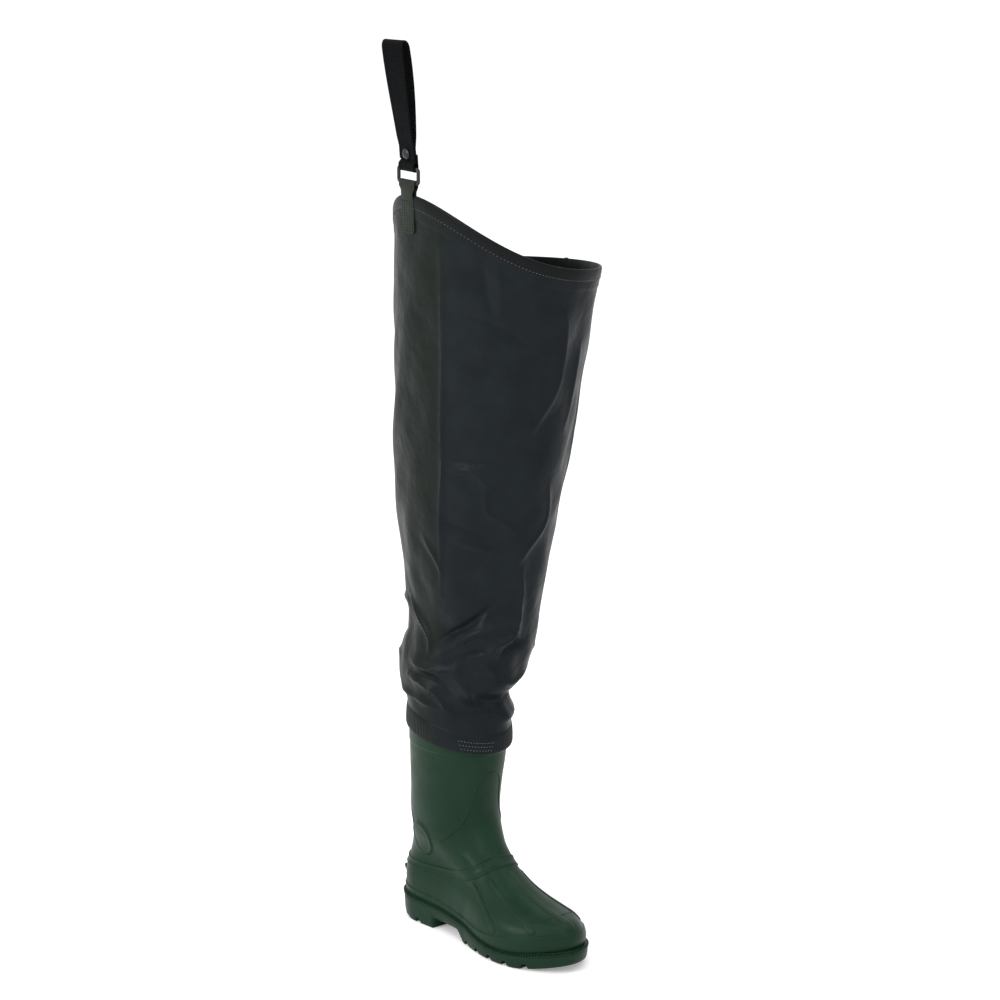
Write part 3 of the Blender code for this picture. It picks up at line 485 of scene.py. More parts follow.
def ankle_height(angle):
    """Height of the raised band round the ankle: high at the instep, low along the sides."""
    front = (1 + np.cos(angle)) / 2
    return INSTEP_HEIGHT * (0.59 + 0.30 * front ** 1.5 + 0.05 * (1 - front) ** 3)


def cuff_edge(angle):
    """Height of the cuff's lower edge, higher at the back than at the front."""
    return CUFF_BOTTOM - CUFF_TILT * np.cos(angle)


def fold_reach(angle, share):
    """How far the slack folds push the leg out at a place."""
    total = 0.0
    for fold in FOLDS:
        turn = degrees_from(angle, fold.angle)
        rise = (share - fold.height - fold.slope * turn / 90) / fold.tall
        total = total + fold.reach * np.exp(-rise * rise - (turn / fold.wide) ** 2)
    return total


def rim_height(angle):
    """Height of the collar: a peak on the outer side, a little to the back, low inside."""
    peak = ((1 + np.cos(angle - PEAK_ANGLE)) / 2) ** 3.3
    tilt = COLLAR_TILT * np.cos(angle + math.radians(20))
    return COLLAR_LOW + COLLAR_RISE * peak + tilt


def leg_surface(angle, share, step=0.0):
    """Points of the leg. Angle 0 is the front and 90 degrees the inner side."""
    inner_front = (1 + np.cos(angle - math.radians(51))) / 2
    slump = SLUMP_TILT * inner_front * ease(share / 0.12) * (1 - ease((share - 0.2) / 0.3))
    ring = LegRing(*(smooth(LEG_RINGS, field, share - slump) for field in LegRing._fields))
    boot_x = -SHAFT_RINGS[-1].back * HEEL_BACK + SHAFT_DEPTH / 2
    blend = ease((share - 0.03) / 0.07)
    out = fold_reach(angle, share) * blend
    fit = TOP_BAND_STEP + CLEARANCE + FABRIC + 0.0006
    depth = (1 - blend) * (SHAFT_DEPTH / 2 + fit) + blend * ring.depth * COLLAR_DEPTH / 2 + out + step
    width = (1 - blend) * (SHAFT_WIDTH / 2 + fit) + blend * ring.width * COLLAR_WIDTH / 2 + out + step
    x = boot_x + LEAN_FORWARD * ring.forward + depth * np.cos(angle)
    y = SHAFT_INWARD + LEAN_INWARD * ring.inward + width * np.sin(angle)
    z = cuff_edge(angle) + share * (rim_height(angle) - cuff_edge(angle))
    return points_of(x, y, z)


def linear(code):
    """A colour's sRGB hex value as the linear values that a shader takes."""
    channels = [int(code[i:i + 2], 16) / 255 for i in (1, 3, 5)]
    return tuple(c / 12.92 if c <= 0.04045 else ((c + 0.055) / 1.055) ** 2.4 for c in channels)


def colour_of(name, words, code):
    """A colour that the user can change."""
    return bpy.props.FloatVectorProperty(name=name, description=words, subtype="COLOR", size=3, min=0.0,
                                         max=1.0, default=linear(code))


def length_of(name, words, metres):
    """A length that the user can change."""
    return bpy.props.FloatProperty(name=name, description=words, subtype="DISTANCE", unit="LENGTH",
                                   precision=5, default=metres)


def power_of(name, words, watts):
    """A lamp's power that the user can change."""
    return bpy.props.FloatProperty(name=name, description=words, unit="POWER", default=watts)


class WaderBootLook(bpy.types.PropertyGroup):
    """Relief and colour of the moulded boot."""
    green: colour_of("Vinyl green", "Colour of the moulded boot and sole", "#153021")
    green_deep: colour_of("Deep green", "Darker cloud in the moulded vinyl", "#102a1a")
    line_lift: length_of("Line relief", "How far the moulded lines stand out", 0.0009)
    line_width: length_of("Line width", "Width of the moulded lines", 0.0026)
    rib_lift: length_of("Rib relief", "How far the vamp ribs stand out", 0.0012)
    rib_width: length_of("Rib width", "Width of the two wide vamp ribs at the ankle", 0.0090)
    tooth_pitch: length_of("Tooth pitch", "From one tooth of the welt to the next", 0.0036)


class WaderLegLook(bpy.types.PropertyGroup):
    """Relief and colour of the fabric leg."""
    # The front's bluish tint is partly the fabric's own dark colour and partly a painted reflection; the
    # side's olive tint is painted light of the facet beyond the pressed crease.
    front: colour_of("Front", "Coated fabric at the front of the leg", "#181d20")
    side: colour_of("Side panel", "Coated fabric on the outer side", "#191f1c")
    lining: colour_of("Lining", "Uncoated olive face inside the collar", "#353b2b")
    edging: colour_of("Edging", "Vinyl tape round the collar", "#0e1112")
    thread: colour_of("Thread", "Light sewing thread", "#6e7472")
    crease: bpy.props.FloatProperty(name="Crease strength", description="Multiplies every hand-set crease",
                                    default=1.0, min=0.0, max=2.0)
    rim_radius: length_of("Rim radius", "Radius of the rolled rim", 0.0015)
    edging_width: length_of("Edging width", "How far the edging tape reaches down outside", 0.0125)
    stitch_pitch: length_of("Stitch pitch", "From one stitch to the next", 0.0042)
    cuff_rib_pitch: length_of("Cuff rib pitch", "From one cuff rib to the next", 0.0026)


class WaderHangerLook(bpy.types.PropertyGroup):
    """Colours and weave of the belt strap, ring and stud."""
    webbing: colour_of("Webbing", "Woven belt strap", "#0a0b0d")
    plastic: colour_of("Ring", "Moulded ring", "#121314")
    lacquer: colour_of("Stud", "Lacquer on the press stud", "#1d1e20")
    tab: colour_of("Tab", "Fabric tab that holds the ring", "#272d26")
    rib_pitch: length_of("Webbing rib", "From one weft rib of the webbing to the next", 0.0022)


class WaderStudio(bpy.types.PropertyGroup):
    """Camera and lamps."""
    turn: bpy.props.FloatProperty(name="Camera turn", subtype="ANGLE", default=math.radians(51.0),
                                  description="Camera's turn from the outer side to the toe")
    distance: length_of("Camera distance", "From the ankle to the camera over the floor", 4.2)
    height: length_of("Camera height", "Camera above the floor", 1.574)
    focal: bpy.props.FloatProperty(name="Focal length", description="Lens in millimetres", default=132.7)
    key: power_of("Key lamp", "Power of the key lamp in watts", 62.0)
    front: power_of("Front lamp", "Power of the front lamp in watts", 28.0)
    top: power_of("Top lamp", "Power of the overhead lamp in watts", 95.0)


def boot_look():
    """Relief and colour chosen for the boot."""
    return bpy.context.scene.wader_boot


def leg_look():
    """Relief and colour chosen for the leg."""
    return bpy.context.scene.wader_leg


def hanger_look():
    """Colours and weave chosen for the hanger."""
    return bpy.context.scene.wader_hanger


# The wave texture's scale that gives one wave to one unit of its coordinates
WAVE_OF_ONE = math.pi / 10


def fill(node, values):
    """Sets the plain values of a node's inputs by their names."""
    for name, value in values.items():
        node.inputs[name].default_value = value


def add_node(tree, kind, settings=None, inputs=None):
    """Adds one node, sets it up and links or fills its inputs."""
    node = tree.nodes.new(kind)
    for name, value in (settings or {}).items():
        setattr(node, name, value)
    for name, value in (inputs or {}).items():
        if isinstance(value, bpy.types.NodeSocket):
            tree.links.new(value, node.inputs[name])
        else:
            node.inputs[name].default_value = value
    return node


def grey(value):
    """A grey of one linear value."""
    return (value, value, value)


def new_surface(name, colour, roughness, metallic=0.0, coat=0.0, sheen=0.0, shine=0.5):
    """A named material with its shader's plain values set, its tree, shader and coordinates."""
    surface = bpy.data.materials.new(name)
    surface.use_nodes = True
    tree = surface.node_tree
    shader = tree.nodes["Principled BSDF"]
    fill(shader, {
        "Base Color": (*colour, 1.0), "Roughness": roughness, "Metallic": metallic, "Coat Weight": coat,
        "Coat Roughness": 0.30, "Sheen Weight": sheen, "Sheen Roughness": 0.5, "Specular IOR Level": shine})
    return surface, tree, shader, add_node(tree, "ShaderNodeTexCoord").outputs


def noise(tree, place, size, detail=2.0):
    """Noise in spots of about size metres."""
    return add_node(tree, "ShaderNodeTexNoise", inputs={
        "Vector": place["Object"], "Scale": 1 / size, "Detail": detail}).outputs["Fac"]


def ramp(tree, factor, socket, *stops):
    """Turns a factor through (place, linear colour) stops into one socket's value."""
    node = add_node(tree, "ShaderNodeValToRGB", inputs={"Fac": factor})
    elements = node.color_ramp.elements
    for i, (place, colour) in enumerate(stops):
        element = elements[i] if i < len(elements) else elements.new(place)
        element.position = place
        element.color = (*colour, 1.0)
    tree.links.new(node.outputs["Color"], socket)


def add_relief(tree, shader, layers):
    """Lays (height socket, depth in metres) layers over one another as the shader's normal."""
    below = None
    for height, depth in layers:
        inputs = {"Height": height, "Distance": depth, "Strength": 1.0}
        if below is not None:
            inputs["Normal"] = below
        below = add_node(tree, "ShaderNodeBump", inputs=inputs).outputs["Normal"]
    tree.links.new(below, shader.inputs["Normal"])


def moulded_vinyl():
    """Injection-moulded PVC: satin, a little cloudy, with the mould's fine blasted grain."""
    look = boot_look()
    surface, tree, shader, place = new_surface("moulded_green_vinyl", look.green, 0.36, shine=0.14)
    # Clouds in the mix of about 45 mm, and hand marks of about 20 mm.
    ramp(tree, noise(tree, place, 0.045, 3.0), shader.inputs["Base Color"],
         (0.35, look.green_deep), (0.65, look.green))
    ramp(tree, noise(tree, place, 0.020, 4.0), shader.inputs["Roughness"],
         (0.3, grey(0.34)), (0.7, grey(0.46)))
    # The grain of the mould is about 0.4 mm and is drawn at 0.8 mm so that it shows.
    grain = noise(tree, place, 0.0008)
    waves = noise(tree, place, 0.018)
    add_relief(tree, shader, [(waves, 0.00025), (grain, 0.00005)])
    return surface


def coated_fabric():
    """Vinyl-coated polyester: the weave shows faintly through a semi-matt skin, softly puckered."""
    look = leg_look()
    surface, tree, shader, place = new_surface("coated_polyester", look.front, 0.36, shine=0.07)
    colour = add_node(tree, "ShaderNodeMix", {"data_type": "RGBA", "blend_type": "MULTIPLY"}, {"Factor": 1.0})
    tree.links.new(colour.outputs[2], shader.inputs["Base Color"])
    # Across the map: 0 at the inseam, 0.5 at the outer side; the pressed crease is at 0.54. Round the outer
    # side the olive tint is painted light of the facet beyond the crease lit differently, and the front's
    # bluish tint is partly a painted reflection.
    around = add_node(tree, "ShaderNodeSeparateXYZ", inputs={"Vector": place["UV"]})
    ramp(tree, around.outputs["X"], colour.inputs[6],
         (0.30, look.front), (0.34, look.side), (0.533, look.side), (0.546, look.front))
    # Worn patches of about 30 mm.
    worn = noise(tree, place, 0.030, 5.0)
    ramp(tree, worn, colour.inputs[7], (0.35, grey(0.86)), (0.70, grey(1.12)))
    ramp(tree, worn, shader.inputs["Roughness"], (0.3, grey(0.31)), (0.7, grey(0.42)))
    # The weave is about 0.6 mm and is drawn at 1.2 mm so that it shows.
    weave = noise(tree, place, 0.0012)
    pucker = noise(tree, place, 0.016, 3.0)
    slack = noise(tree, place, 0.060)
    add_relief(tree, shader, [(slack, 0.0040), (pucker, 0.0011), (weave, 0.00008)])
    return surface


def edge_tape():
    """Calendered vinyl tape round the collar: near black, smoother and glossier than the fabric."""
    surface, tree, shader, place = new_surface("black_edge_tape", leg_look().edging, 0.34, shine=0.11)
    # The rollers leave marks of about 8 mm.
    drawn = noise(tree, place, 0.008, 3.0)
    ramp(tree, drawn, shader.inputs["Roughness"], (0.3, grey(0.32)), (0.7, grey(0.42)))
    add_relief(tree, shader, [(drawn, 0.0003)])
    return surface


def plain_fabric(name, colour, roughness, grain, depth):
    """A woven face with a grain in metres: the lining, the tab, the insole's felt or a thread."""
    surface, tree, shader, place = new_surface(name, colour, roughness, sheen=0.02, shine=0.12)
    # Uneven dye in patches of about 28 mm.
    darker = tuple(0.72 * c for c in colour)
    lighter = tuple(min(1.0, 1.18 * c) for c in colour)
    ramp(tree, noise(tree, place, 0.028, 4.0), shader.inputs["Base Color"], (0.30, darker), (0.70, lighter))
    add_relief(tree, shader, [(noise(tree, place, grain), depth)])
    return surface


def woven_webbing():
    """Polypropylene webbing: matt, with weft ribs across it and fine warp lines along it."""
    look = hanger_look()
    surface, tree, shader, place = new_surface("black_webbing", look.webbing, 0.75, sheen=0.01, shine=0.05)
    # The ribs are 2.2 mm apart and the warp lines about 2.5 mm, coarser than real ones so that they show.
    scaled = add_node(tree, "ShaderNodeMapping", inputs={
        "Vector": place["UV"], "Scale": (11.0, run_along(strap_line())[-1] / look.rib_pitch, 1.0)})
    ribs, warp = (
        add_node(tree, "ShaderNodeTexWave", {"bands_direction": way}, {
            "Vector": scaled.outputs["Vector"], "Scale": WAVE_OF_ONE, "Distortion": 0.0})
        for way in ("Y", "X"))
    # The ribs' colour follows their relief: painted shade in the hollows between ribs and painted highlight
    # on their crests.
    darker = tuple(0.55 * c for c in look.webbing)
    lighter = tuple(1.9 * c for c in look.webbing)
    ramp(tree, ribs.outputs["Fac"], shader.inputs["Base Color"], (0.2, darker), (0.8, lighter))
    add_relief(tree, shader, [(ribs.outputs["Fac"], 0.00060), (warp.outputs["Fac"], 0.00018)])
    return surface


def moulded_acetal():
    """Injection-moulded acetal: black, smooth, with a soft shine."""
    surface, tree, shader, place = new_surface("black_acetal", hanger_look().plastic, 0.34)
    # Scuffs of about 4 mm.
    scuffs = noise(tree, place, 0.004, 4.0)
    ramp(tree, scuffs, shader.inputs["Roughness"], (0.3, grey(0.26)), (0.7, grey(0.44)))
    add_relief(tree, shader, [(scuffs, 0.00004)])
    return surface


def lacquered_brass():
    """Pressed brass under black lacquer, rubbed smoother in patches of about 3 mm."""
    surface, tree, shader, place = new_surface("black_lacquered_brass", hanger_look().lacquer, 0.30,
                                               metallic=0.75, coat=0.4)
    ramp(tree, noise(tree, place, 0.003, 3.0), shader.inputs["Roughness"],
         (0.3, grey(0.22)), (0.7, grey(0.40)))
    return surface


def add_object(name, data, place=None, aim=None):
    """Puts an object into the scene, at a place and aimed at a point where they are given."""
    made = bpy.data.objects.new(name, data)
    bpy.context.scene.collection.objects.link(made)
    if place is not None:
        made.location = place
        made.rotation_mode = "QUATERNION"
        made.rotation_quaternion = (Vector(aim) - Vector(place)).to_track_quat("-Z", "Y")
    return made


def keep(work, name, surfaces, node=None, crease=40):
    """Turns a finished bmesh into a piece that rides on the wader's one body."""
    mesh = bpy.data.meshes.new(name)
    work.to_mesh(mesh)
    work.free()
    for surface in surfaces:
        mesh.materials.append(surface)
    mesh.shade_smooth()
    mesh.set_sharp_from_angle(angle=math.radians(crease))
    piece = add_object(name, mesh)
    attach(piece, "root")
    if node is not None:
        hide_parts(node)
    return piece


def add_skin(work, rows, around=True, inner_from=None):
    """Adds a grid whose corners are given row by row. Around joins its last column to its first."""
    points = np.asarray(rows, float)
    if around:
        points = np.concatenate([points, points[:, :1]], axis=1)
    tall, wide = points.shape[:2]
    if not work.loops.layers.uv:
        work.loops.layers.uv.new("surface")
    made = bmesh.ops.create_grid(work, x_segments=wide - 1, y_segments=tall - 1, size=0.5, calc_uvs=True)
    rows_of = {}
    for corner in made["verts"]:
        column = round((corner.co.x + 0.5) * (wide - 1))
        row = round((corner.co.y + 0.5) * (tall - 1))
        rows_of[corner] = row
        corner.co = points[row, column]
    if inner_from is not None:
        for face in work.faces:
            if min(rows_of.get(corner, 0) for corner in face.verts) >= inner_from:
                face.material_index = 1


def close_skin(work, weld=1e-6):
    """Welds a skin's seam, closes its open ends and turns its faces outwards."""
    bmesh.ops.remove_doubles(work, verts=work.verts, dist=weld)
    bmesh.ops.dissolve_degenerate(work, edges=work.edges, dist=1e-7)
    open_edges = [edge for edge in work.edges if edge.is_boundary]
    if open_edges:
        bmesh.ops.holes_fill(work, edges=open_edges, sides=0)
    bmesh.ops.recalc_face_normals(work, faces=work.faces)


def skin(name, rows, surfaces, node=None, around=True, inner_from=None, crease=40):
    """A closed piece from rows of points."""
    work = bmesh.new()
    add_skin(work, rows, around, inner_from)
    close_skin(work)
    return keep(work, name, surfaces, node, crease)


Spot = namedtuple("Spot", "along turn height")
VampRib = namedtuple("VampRib", "top bottom narrow wide")

# The line round the shin, from the outer ankle disc over the front to the inner one.
SHIN_LINE = [(72, 0.118), (52, 0.131), (34, 0.147), (24, 0.171), (22, 0.186), (14, 0.199), (0, 0.203)]
# The line from a disc up the calf to the top band.
CALF_LINE = [(119, 0.117), (134, 0.134), (145, 0.163), (150, 0.198), (151, 0.225)]
# The line over the toe cap, between the two wide ribs.
TOE_LINE = [(-37, 0.0535), (-22, 0.0585), (0, 0.0605), (22, 0.0585), (37, 0.0535)]
ROUND_LINE = [(-1.0, -0.35), (-0.75, 0.25), (-0.4, 0.85), (0.0, 1.0), (0.4, 0.85), (0.75, 0.25), (1.0, -0.35)]
FLAT_RIB = [(-1.0, -0.3), (-0.9, 0.45), (-0.72, 0.95), (-0.35, 1.0), (0.0, 0.92), (0.35, 1.0), (0.72, 0.95),
            (0.9, 0.45), (1.0, -0.3)]

# The vamp's ribs: degrees from the toe at their top and bottom, and their widths there as
# shares of the wide ribs' width.
VAMP_RIBS = [
    VampRib(-76, -64, 0.55, 0.75),
    VampRib(-45, -38, 0.75, 1.15),
    VampRib(-4, 0, 1.0, 1.3),
    VampRib(45, 38, 0.75, 1.15),
    VampRib(76, 64, 0.55, 0.75),
]


def boot_skin_rows(columns):
    """Rows of levels and lifts up the boot, crowded at the edges of the rand and bands."""
    angle = 2 * math.pi * np.arange(columns) / columns
    rand = rand_level(angle)
    ridge = ankle_height(angle)
    half = RIDGE_WIDTH / 2
    soft = 0.7 * RIDGE_STEP
    band = BOOT_HEIGHT - TOP_BAND
    stops = [
        (np.zeros(columns), RAND_STEP, 16), (rand - 0.07, RAND_STEP, 6), (rand + 0.04, 0.0, 74),
        (level_at(angle, ridge - half), 0.0, 5), (level_at(angle, ridge - half + soft), RIDGE_STEP, 5),
        (level_at(angle, ridge - 0.2 * half), 0.55 * RIDGE_STEP, 3),
        (level_at(angle, ridge + 0.2 * half), 0.55 * RIDGE_STEP, 5),
        (level_at(angle, ridge + half - soft), RIDGE_STEP, 5), (level_at(angle, ridge + half), 0.0, 92),
        (level_at(angle, band), 0.0, 5), (level_at(angle, band + 2 * TOP_BAND_STEP), TOP_BAND_STEP, 22),
        (np.full(columns, float(TOP_LEVEL)), TOP_BAND_STEP, 1),
    ]
    levels, lifts = [], []
    for (low, low_lift, count), (high, high_lift, _) in zip(stops, stops[1:]):
        for i in range(count):
            levels.append(low + (high - low) * i / count)
            lifts.append(low_lift + (high_lift - low_lift) * ease(i / count))
    levels.append(stops[-1][0])
    lifts.append(TOP_BAND_STEP)
    return angle, np.array(levels), np.array(lifts)


def ankle_disc_lift(points):
    """The round pads over the two ankles: a flat face, a raised rim and a soft shoulder."""
    off = np.hypot(points[..., 0] - DISC_FORWARD, points[..., 2] - DISC_HEIGHT) / DISC_RADIUS
    rim = 0.35 * np.exp(-((off - 0.86) / 0.07) ** 2)
    return DISC_STEP * ((0.75 + rim) * (1 - ease((off - 0.92) / 0.10)))


def heel_spur_lift(points):
    """The kick-off spur on the back of the heel: a sloped underside and a flat top."""
    beside = 1 - ease((np.abs(points[..., 1]) - 0.42 * SPUR_WIDTH) / (0.16 * SPUR_WIDTH))
    up = points[..., 2] - HEEL_SEAT
    profile = ease((up - SPUR_FOOT) / 0.0085) * (1 - ease((up - SPUR_TOP) / 0.0035))
    ripple = 1 - 0.10 * (1 + np.cos(points[..., 1] * 2 * math.pi / SPUR_RIPPLE)) * ease((profile - 0.6) / 0.3)
    return np.where(points[..., 0] < 0, SPUR_REACH * beside * profile * ripple, 0.0)


def make_boot_upper(surface):
    """The moulded upper as one hollow wall, open at the top and above the sole."""
    columns = 288
    angle, levels, lifts = boot_skin_rows(columns)
    around = np.broadcast_to(angle, levels.shape)
    plain = boot_surface(around, levels)
    lift = lifts[:, None] + ankle_disc_lift(plain) + heel_spur_lift(plain)
    outer = raised(around, levels, lift)
    outer[0, :, 2] = seat_height(outer[0, :, 0])
    outer[-1, :, 2] = BOOT_HEIGHT
    inside = np.linspace(TOP_LEVEL, 0.0, 38)
    turned = np.broadcast_to(angle, (len(inside), columns))
    inner = raised(turned, np.broadcast_to(inside[:, None], turned.shape), np.full(turned.shape, -BOOT_WALL))
    inner[0, :, 2] = BOOT_HEIGHT
    inner[-1, :, 2] = seat_height(inner[-1, :, 0])
    rows = np.concatenate([outer, inner, outer[:1]])
    skin("boot_upper_moulding", rows, [surface], "boot_upper", crease=50)


def across_line(turn, level, half):
    """How far the angle and the level change over half a line's width, square to its run."""
    step = 0.01
    here = boot_surface(turn, level)
    by_turn = (boot_surface(turn + step, level) - here) / step
    by_level = (boot_surface(turn, np.minimum(level + step, TOP_LEVEL)) - here) / step
    along = unit(np.gradient(here, axis=0))
    side = np.cross(unit(np.cross(by_turn, by_level)), along) * np.asarray(half)[..., None]
    turn_turn, turn_level, level_level = (
        np.sum(a * b, axis=-1) for a, b in ((by_turn, by_turn), (by_turn, by_level), (by_level, by_level)))
    side_turn, side_level = np.sum(side * by_turn, axis=-1), np.sum(side * by_level, axis=-1)
    size = turn_turn * level_level - turn_level ** 2
    return ((side_turn * level_level - side_level * turn_level) / size,
            (side_level * turn_turn - side_turn * turn_level) / size)


def add_line(work, turn, level, width, lift, profile):
    """A raised line on the boot along angles and levels, sunk a little and faded at its ends."""
    count = len(turn)
    fade = ease(np.minimum(np.arange(count), np.arange(count)[::-1]) / 5.0)
    by_turn, by_level = across_line(turn, level, 0.5 * np.asarray(width) * (0.35 + 0.65 * fade))
    rows = [raised(turn + by_turn * side, level + by_level * side, lift * (rise * fade - 0.25 * (1 - fade)))
            for side, rise in profile]
    rows.append(raised(turn, level, np.full(count, -0.45 * BOOT_WALL)))
    add_skin(work, np.swapaxes(np.array(rows), 0, 1))


def smooth_run(places, steps):
    """Angles and levels along a line given as (degrees, height) places."""
    spots = [Spot(i, *place) for i, place in enumerate(places)]
    along = np.linspace(0, len(places) - 1, steps * (len(places) - 1) + 1)
    turn = np.radians(smooth(spots, "turn", along))
    return turn, level_at(turn, smooth(spots, "height", along))


def make_boot_lines(surface):
    """The moulded lines: over the shin, up the calf and over the toe cap, and the vamp's ribs."""
    look = boot_look()
    work = bmesh.new()
    shin = [(-turn, height) for turn, height in SHIN_LINE[:-1]] + SHIN_LINE[::-1]
    start = (86, DISC_HEIGHT + 0.003)
    shin = [(-start[0], start[1])] + shin + [start]
    add_line(work, *smooth_run(shin, 12), look.line_width, look.line_lift, ROUND_LINE)
    for side in (-1, 1):
        calf = [(side * turn, height) for turn, height in CALF_LINE]
        add_line(work, *smooth_run(calf, 10), look.line_width, look.line_lift, ROUND_LINE)
    add_line(work, *smooth_run(TOE_LINE, 10), 0.8 * look.line_width, 0.8 * look.line_lift, ROUND_LINE)
    share = np.linspace(0, 1, 60)
    for rib in VAMP_RIBS:
        turn = np.radians(rib.top + (rib.bottom - rib.top) * share)
        low = rand_level(turn[-1:]) + 0.02
        high = level_at(turn[:1], ankle_height(turn[:1]) - 0.5 * RIDGE_WIDTH) - 0.03
        level = high + (low - high) * share
        width = look.rib_width * (rib.narrow + (rib.wide - rib.narrow) * share)
        add_line(work, turn, level, width, look.rib_lift, FLAT_RIB)
    close_skin(work)
    keep(work, "boot_moulded_lines", [surface], crease=50)


def sole_bottom(x):
    """Height of the tread: heel block, raised waist, flat forepart, toe spring."""
    waist = ease((x - HEEL_BREAST) / 0.003) * (1 - ease((x - FOREPART_START) / (0.05 * SOLE_LENGTH)))
    spring = np.maximum(0.0, (x - SPRING_START) / (TOE_REACH - SPRING_START))
    return ARCH_CLEARANCE * waist + TOE_SPRING * spring ** 1.7


def tread_cut(x, across):
    """Depth of the cross grooves, V-shaped with a flat root."""
    spots = [(FOREPART_START + 0.022 + i * FOREPART_PITCH, 0.006) for i in range(FOREPART_GROOVES)]
    spots += [(0.5 * HEEL_PITCH * (2 * i - 1), -0.004) for i in range(HEEL_GROOVES)]
    deepest = np.zeros_like(x)
    for spot, skew in spots:
        off = np.abs(x - spot - skew * (0.67 * np.abs(across) - 0.5))
        deepest = np.maximum(deepest, np.clip((CUT_MOUTH - off / GROOVE_WIDTH) / CUT_SLOPE, 0.0, 1.0))
    return CUT_DEEPER * GROOVE_DEPTH * deepest


def sole_edge(x, inner, reach):
    """A place on the sole's edge. Reach is how far it stands out from the upper's edge."""
    base = BOOT_RINGS[0]
    low, high = -HEEL_BACK, TOE_REACH
    round_off = rounding((x - low) / (high - low), base.tail, base.nose)
    middle = (low + high) / 2
    moved = middle + (x - middle) * (1 + reach / (0.5 * SOLE_LENGTH))
    half = (foot_half_width(x, inner) * base.cover + RAND_STEP + reach) * round_off
    return moved, np.where(inner, half, -half)


def make_outsole(surface):
    """The sole in cross sections from heel to toe: welt ledge, side wall and cut tread."""
    count = 420
    x = -HEEL_BACK + SOLE_LENGTH * (1 - np.cos(math.pi * np.arange(count + 1) / count)) / 2
    seat, floor = seat_height(x), sole_bottom(x)
    under = seat - WELT_THICKNESS - 0.0030
    top_edge = WELT_REACH - 0.0016
    wall = [(top_edge, seat - CLEARANCE), (top_edge, seat - 0.0030),
            (WELT_REACH, seat - 0.0031), (WELT_REACH, seat - WELT_THICKNESS),
            (WELT_REACH - WELT_GROOVE, seat - WELT_THICKNESS - 0.0012),
            (WELT_REACH - 0.4 * WELT_GROOVE, under)]
    steps = 10
    for i in range(1, steps + 1):
        share = i / steps
        wall.append((WELT_REACH - 0.4 * WELT_GROOVE - 0.8 * WELT_GROOVE * share - WELT_REACH * share ** 6,
                     under + (floor + 0.0007 * (1 - share) - under) * share))
    reaches = wall[-1][0]

    def ring(side_rows):
        """Rows along the sole for one section, its tread cut by the cross grooves."""
        rows = []
        for inner, parts in side_rows:
            for reach, height, across in parts:
                moved, edge = sole_edge(x, inner, reach)
                bottom = np.minimum(floor + tread_cut(x, across), seat - 0.001)
                rows.append(points_of(moved, edge * across, np.maximum(height, bottom)))
        return rows

    shares = [0.94, 0.8, 0.6, 0.4, 0.2]
    down = [(reach, height, 1.0) for reach, height in wall]
    beneath = [(reaches, floor - 1.0, share) for share in shares]
    above = [(top_edge, seat - CLEARANCE, share) for share in (0.25, 0.6, 0.9)]
    section = above + down + beneath
    rows = ring([(True, section), (False, section[::-1])])
    skin("outsole_tread", np.swapaxes(np.array(rows), 0, 1), [surface], "outsole", crease=35)


def sole_outline(reach, pitch_parts):
    """Even places round the sole's edge, pitch_parts of them to each tooth."""
    share = (1 - np.cos(math.pi * np.arange(401) / 400)) / 2
    x = -HEEL_BACK + SOLE_LENGTH * share
    inner = points_of(*sole_edge(x, True, reach), seat_height(x))
    outer = points_of(*sole_edge(x[::-1], False, reach), seat_height(x[::-1]))
    loop = np.concatenate([inner, outer[1:]])
    run = run_along(loop)
    teeth = round(run[-1] / boot_look().tooth_pitch)
    even = np.linspace(0, run[-1], teeth * pitch_parts, endpoint=False)
    return np.stack([np.interp(even, run, loop[:, i]) for i in range(3)], axis=1)


def make_welt_teeth(surface):
    """The row of small teeth that runs round the sole's top edge."""
    parts = 8
    places = sole_outline(WELT_REACH, parts)
    ahead = np.roll(places, -1, axis=0) - np.roll(places, 1, axis=0)
    ahead[:, 2] = 0.0
    out = unit(np.cross(ahead, [0.0, 0.0, 1.0]))
    middle = np.array([0.5 * (TOE_REACH - HEEL_BACK), 0.0, 0.0])
    flip = np.sign(np.sum(out * (places - middle), axis=1))
    out = out * np.where(np.median(flip) < 0, -1, 1)
    phase = np.arange(len(places)) / parts
    tooth = ease(0.5 + 1.35 * np.cos(2 * math.pi * phase))[:, None]
    profile = [(TOOTH_SUNK, -0.0004), (-0.0002, -0.0005), (0.0004, -0.0011),
               (0.0004, -0.0021), (-0.0002, -0.0028), (TOOTH_SUNK, -0.0029)]
    rows = []
    for reach, drop in profile:
        rows.append(places + out * (reach * tooth + TOOTH_SUNK * (1 - tooth)) + [0.0, 0.0, drop])
    rows.append(rows[0])
    skin("welt_teeth", rows, [surface], crease=60)


def make_insole(surface):
    """The felt insole: a thin sheet with a soft edge, a little hollow under the heel."""
    inset = BOOT_WALL + 3 * CLEARANCE
    angle = np.linspace(0, math.pi, 121)
    inner, outer = (raised(turn, np.zeros_like(turn), np.full_like(turn, -inset)) for turn in (angle, -angle))
    seat = seat_height(inner[:, 0])
    rows = []
    for share, lift in ((0, CLEARANCE), (0, 0.6), (0.01, 0.9), (0.03, 1.0), (0.15, 0.97), (0.3, 0.92),
                        (0.5, 0.9), (0.7, 0.92), (0.85, 0.97), (0.97, 1.0), (0.99, 0.9), (1, 0.6),
                        (1, CLEARANCE), (0.5, CLEARANCE)):
        height = CLEARANCE if lift == CLEARANCE else lift * INSOLE_THICKNESS
        line = inner + (outer - inner) * share
        line[:, 2] = seat + height
        rows.append(line)
    skin("insole_felt", np.swapaxes(np.array(rows), 0, 1), [surface], "insole", crease=60)


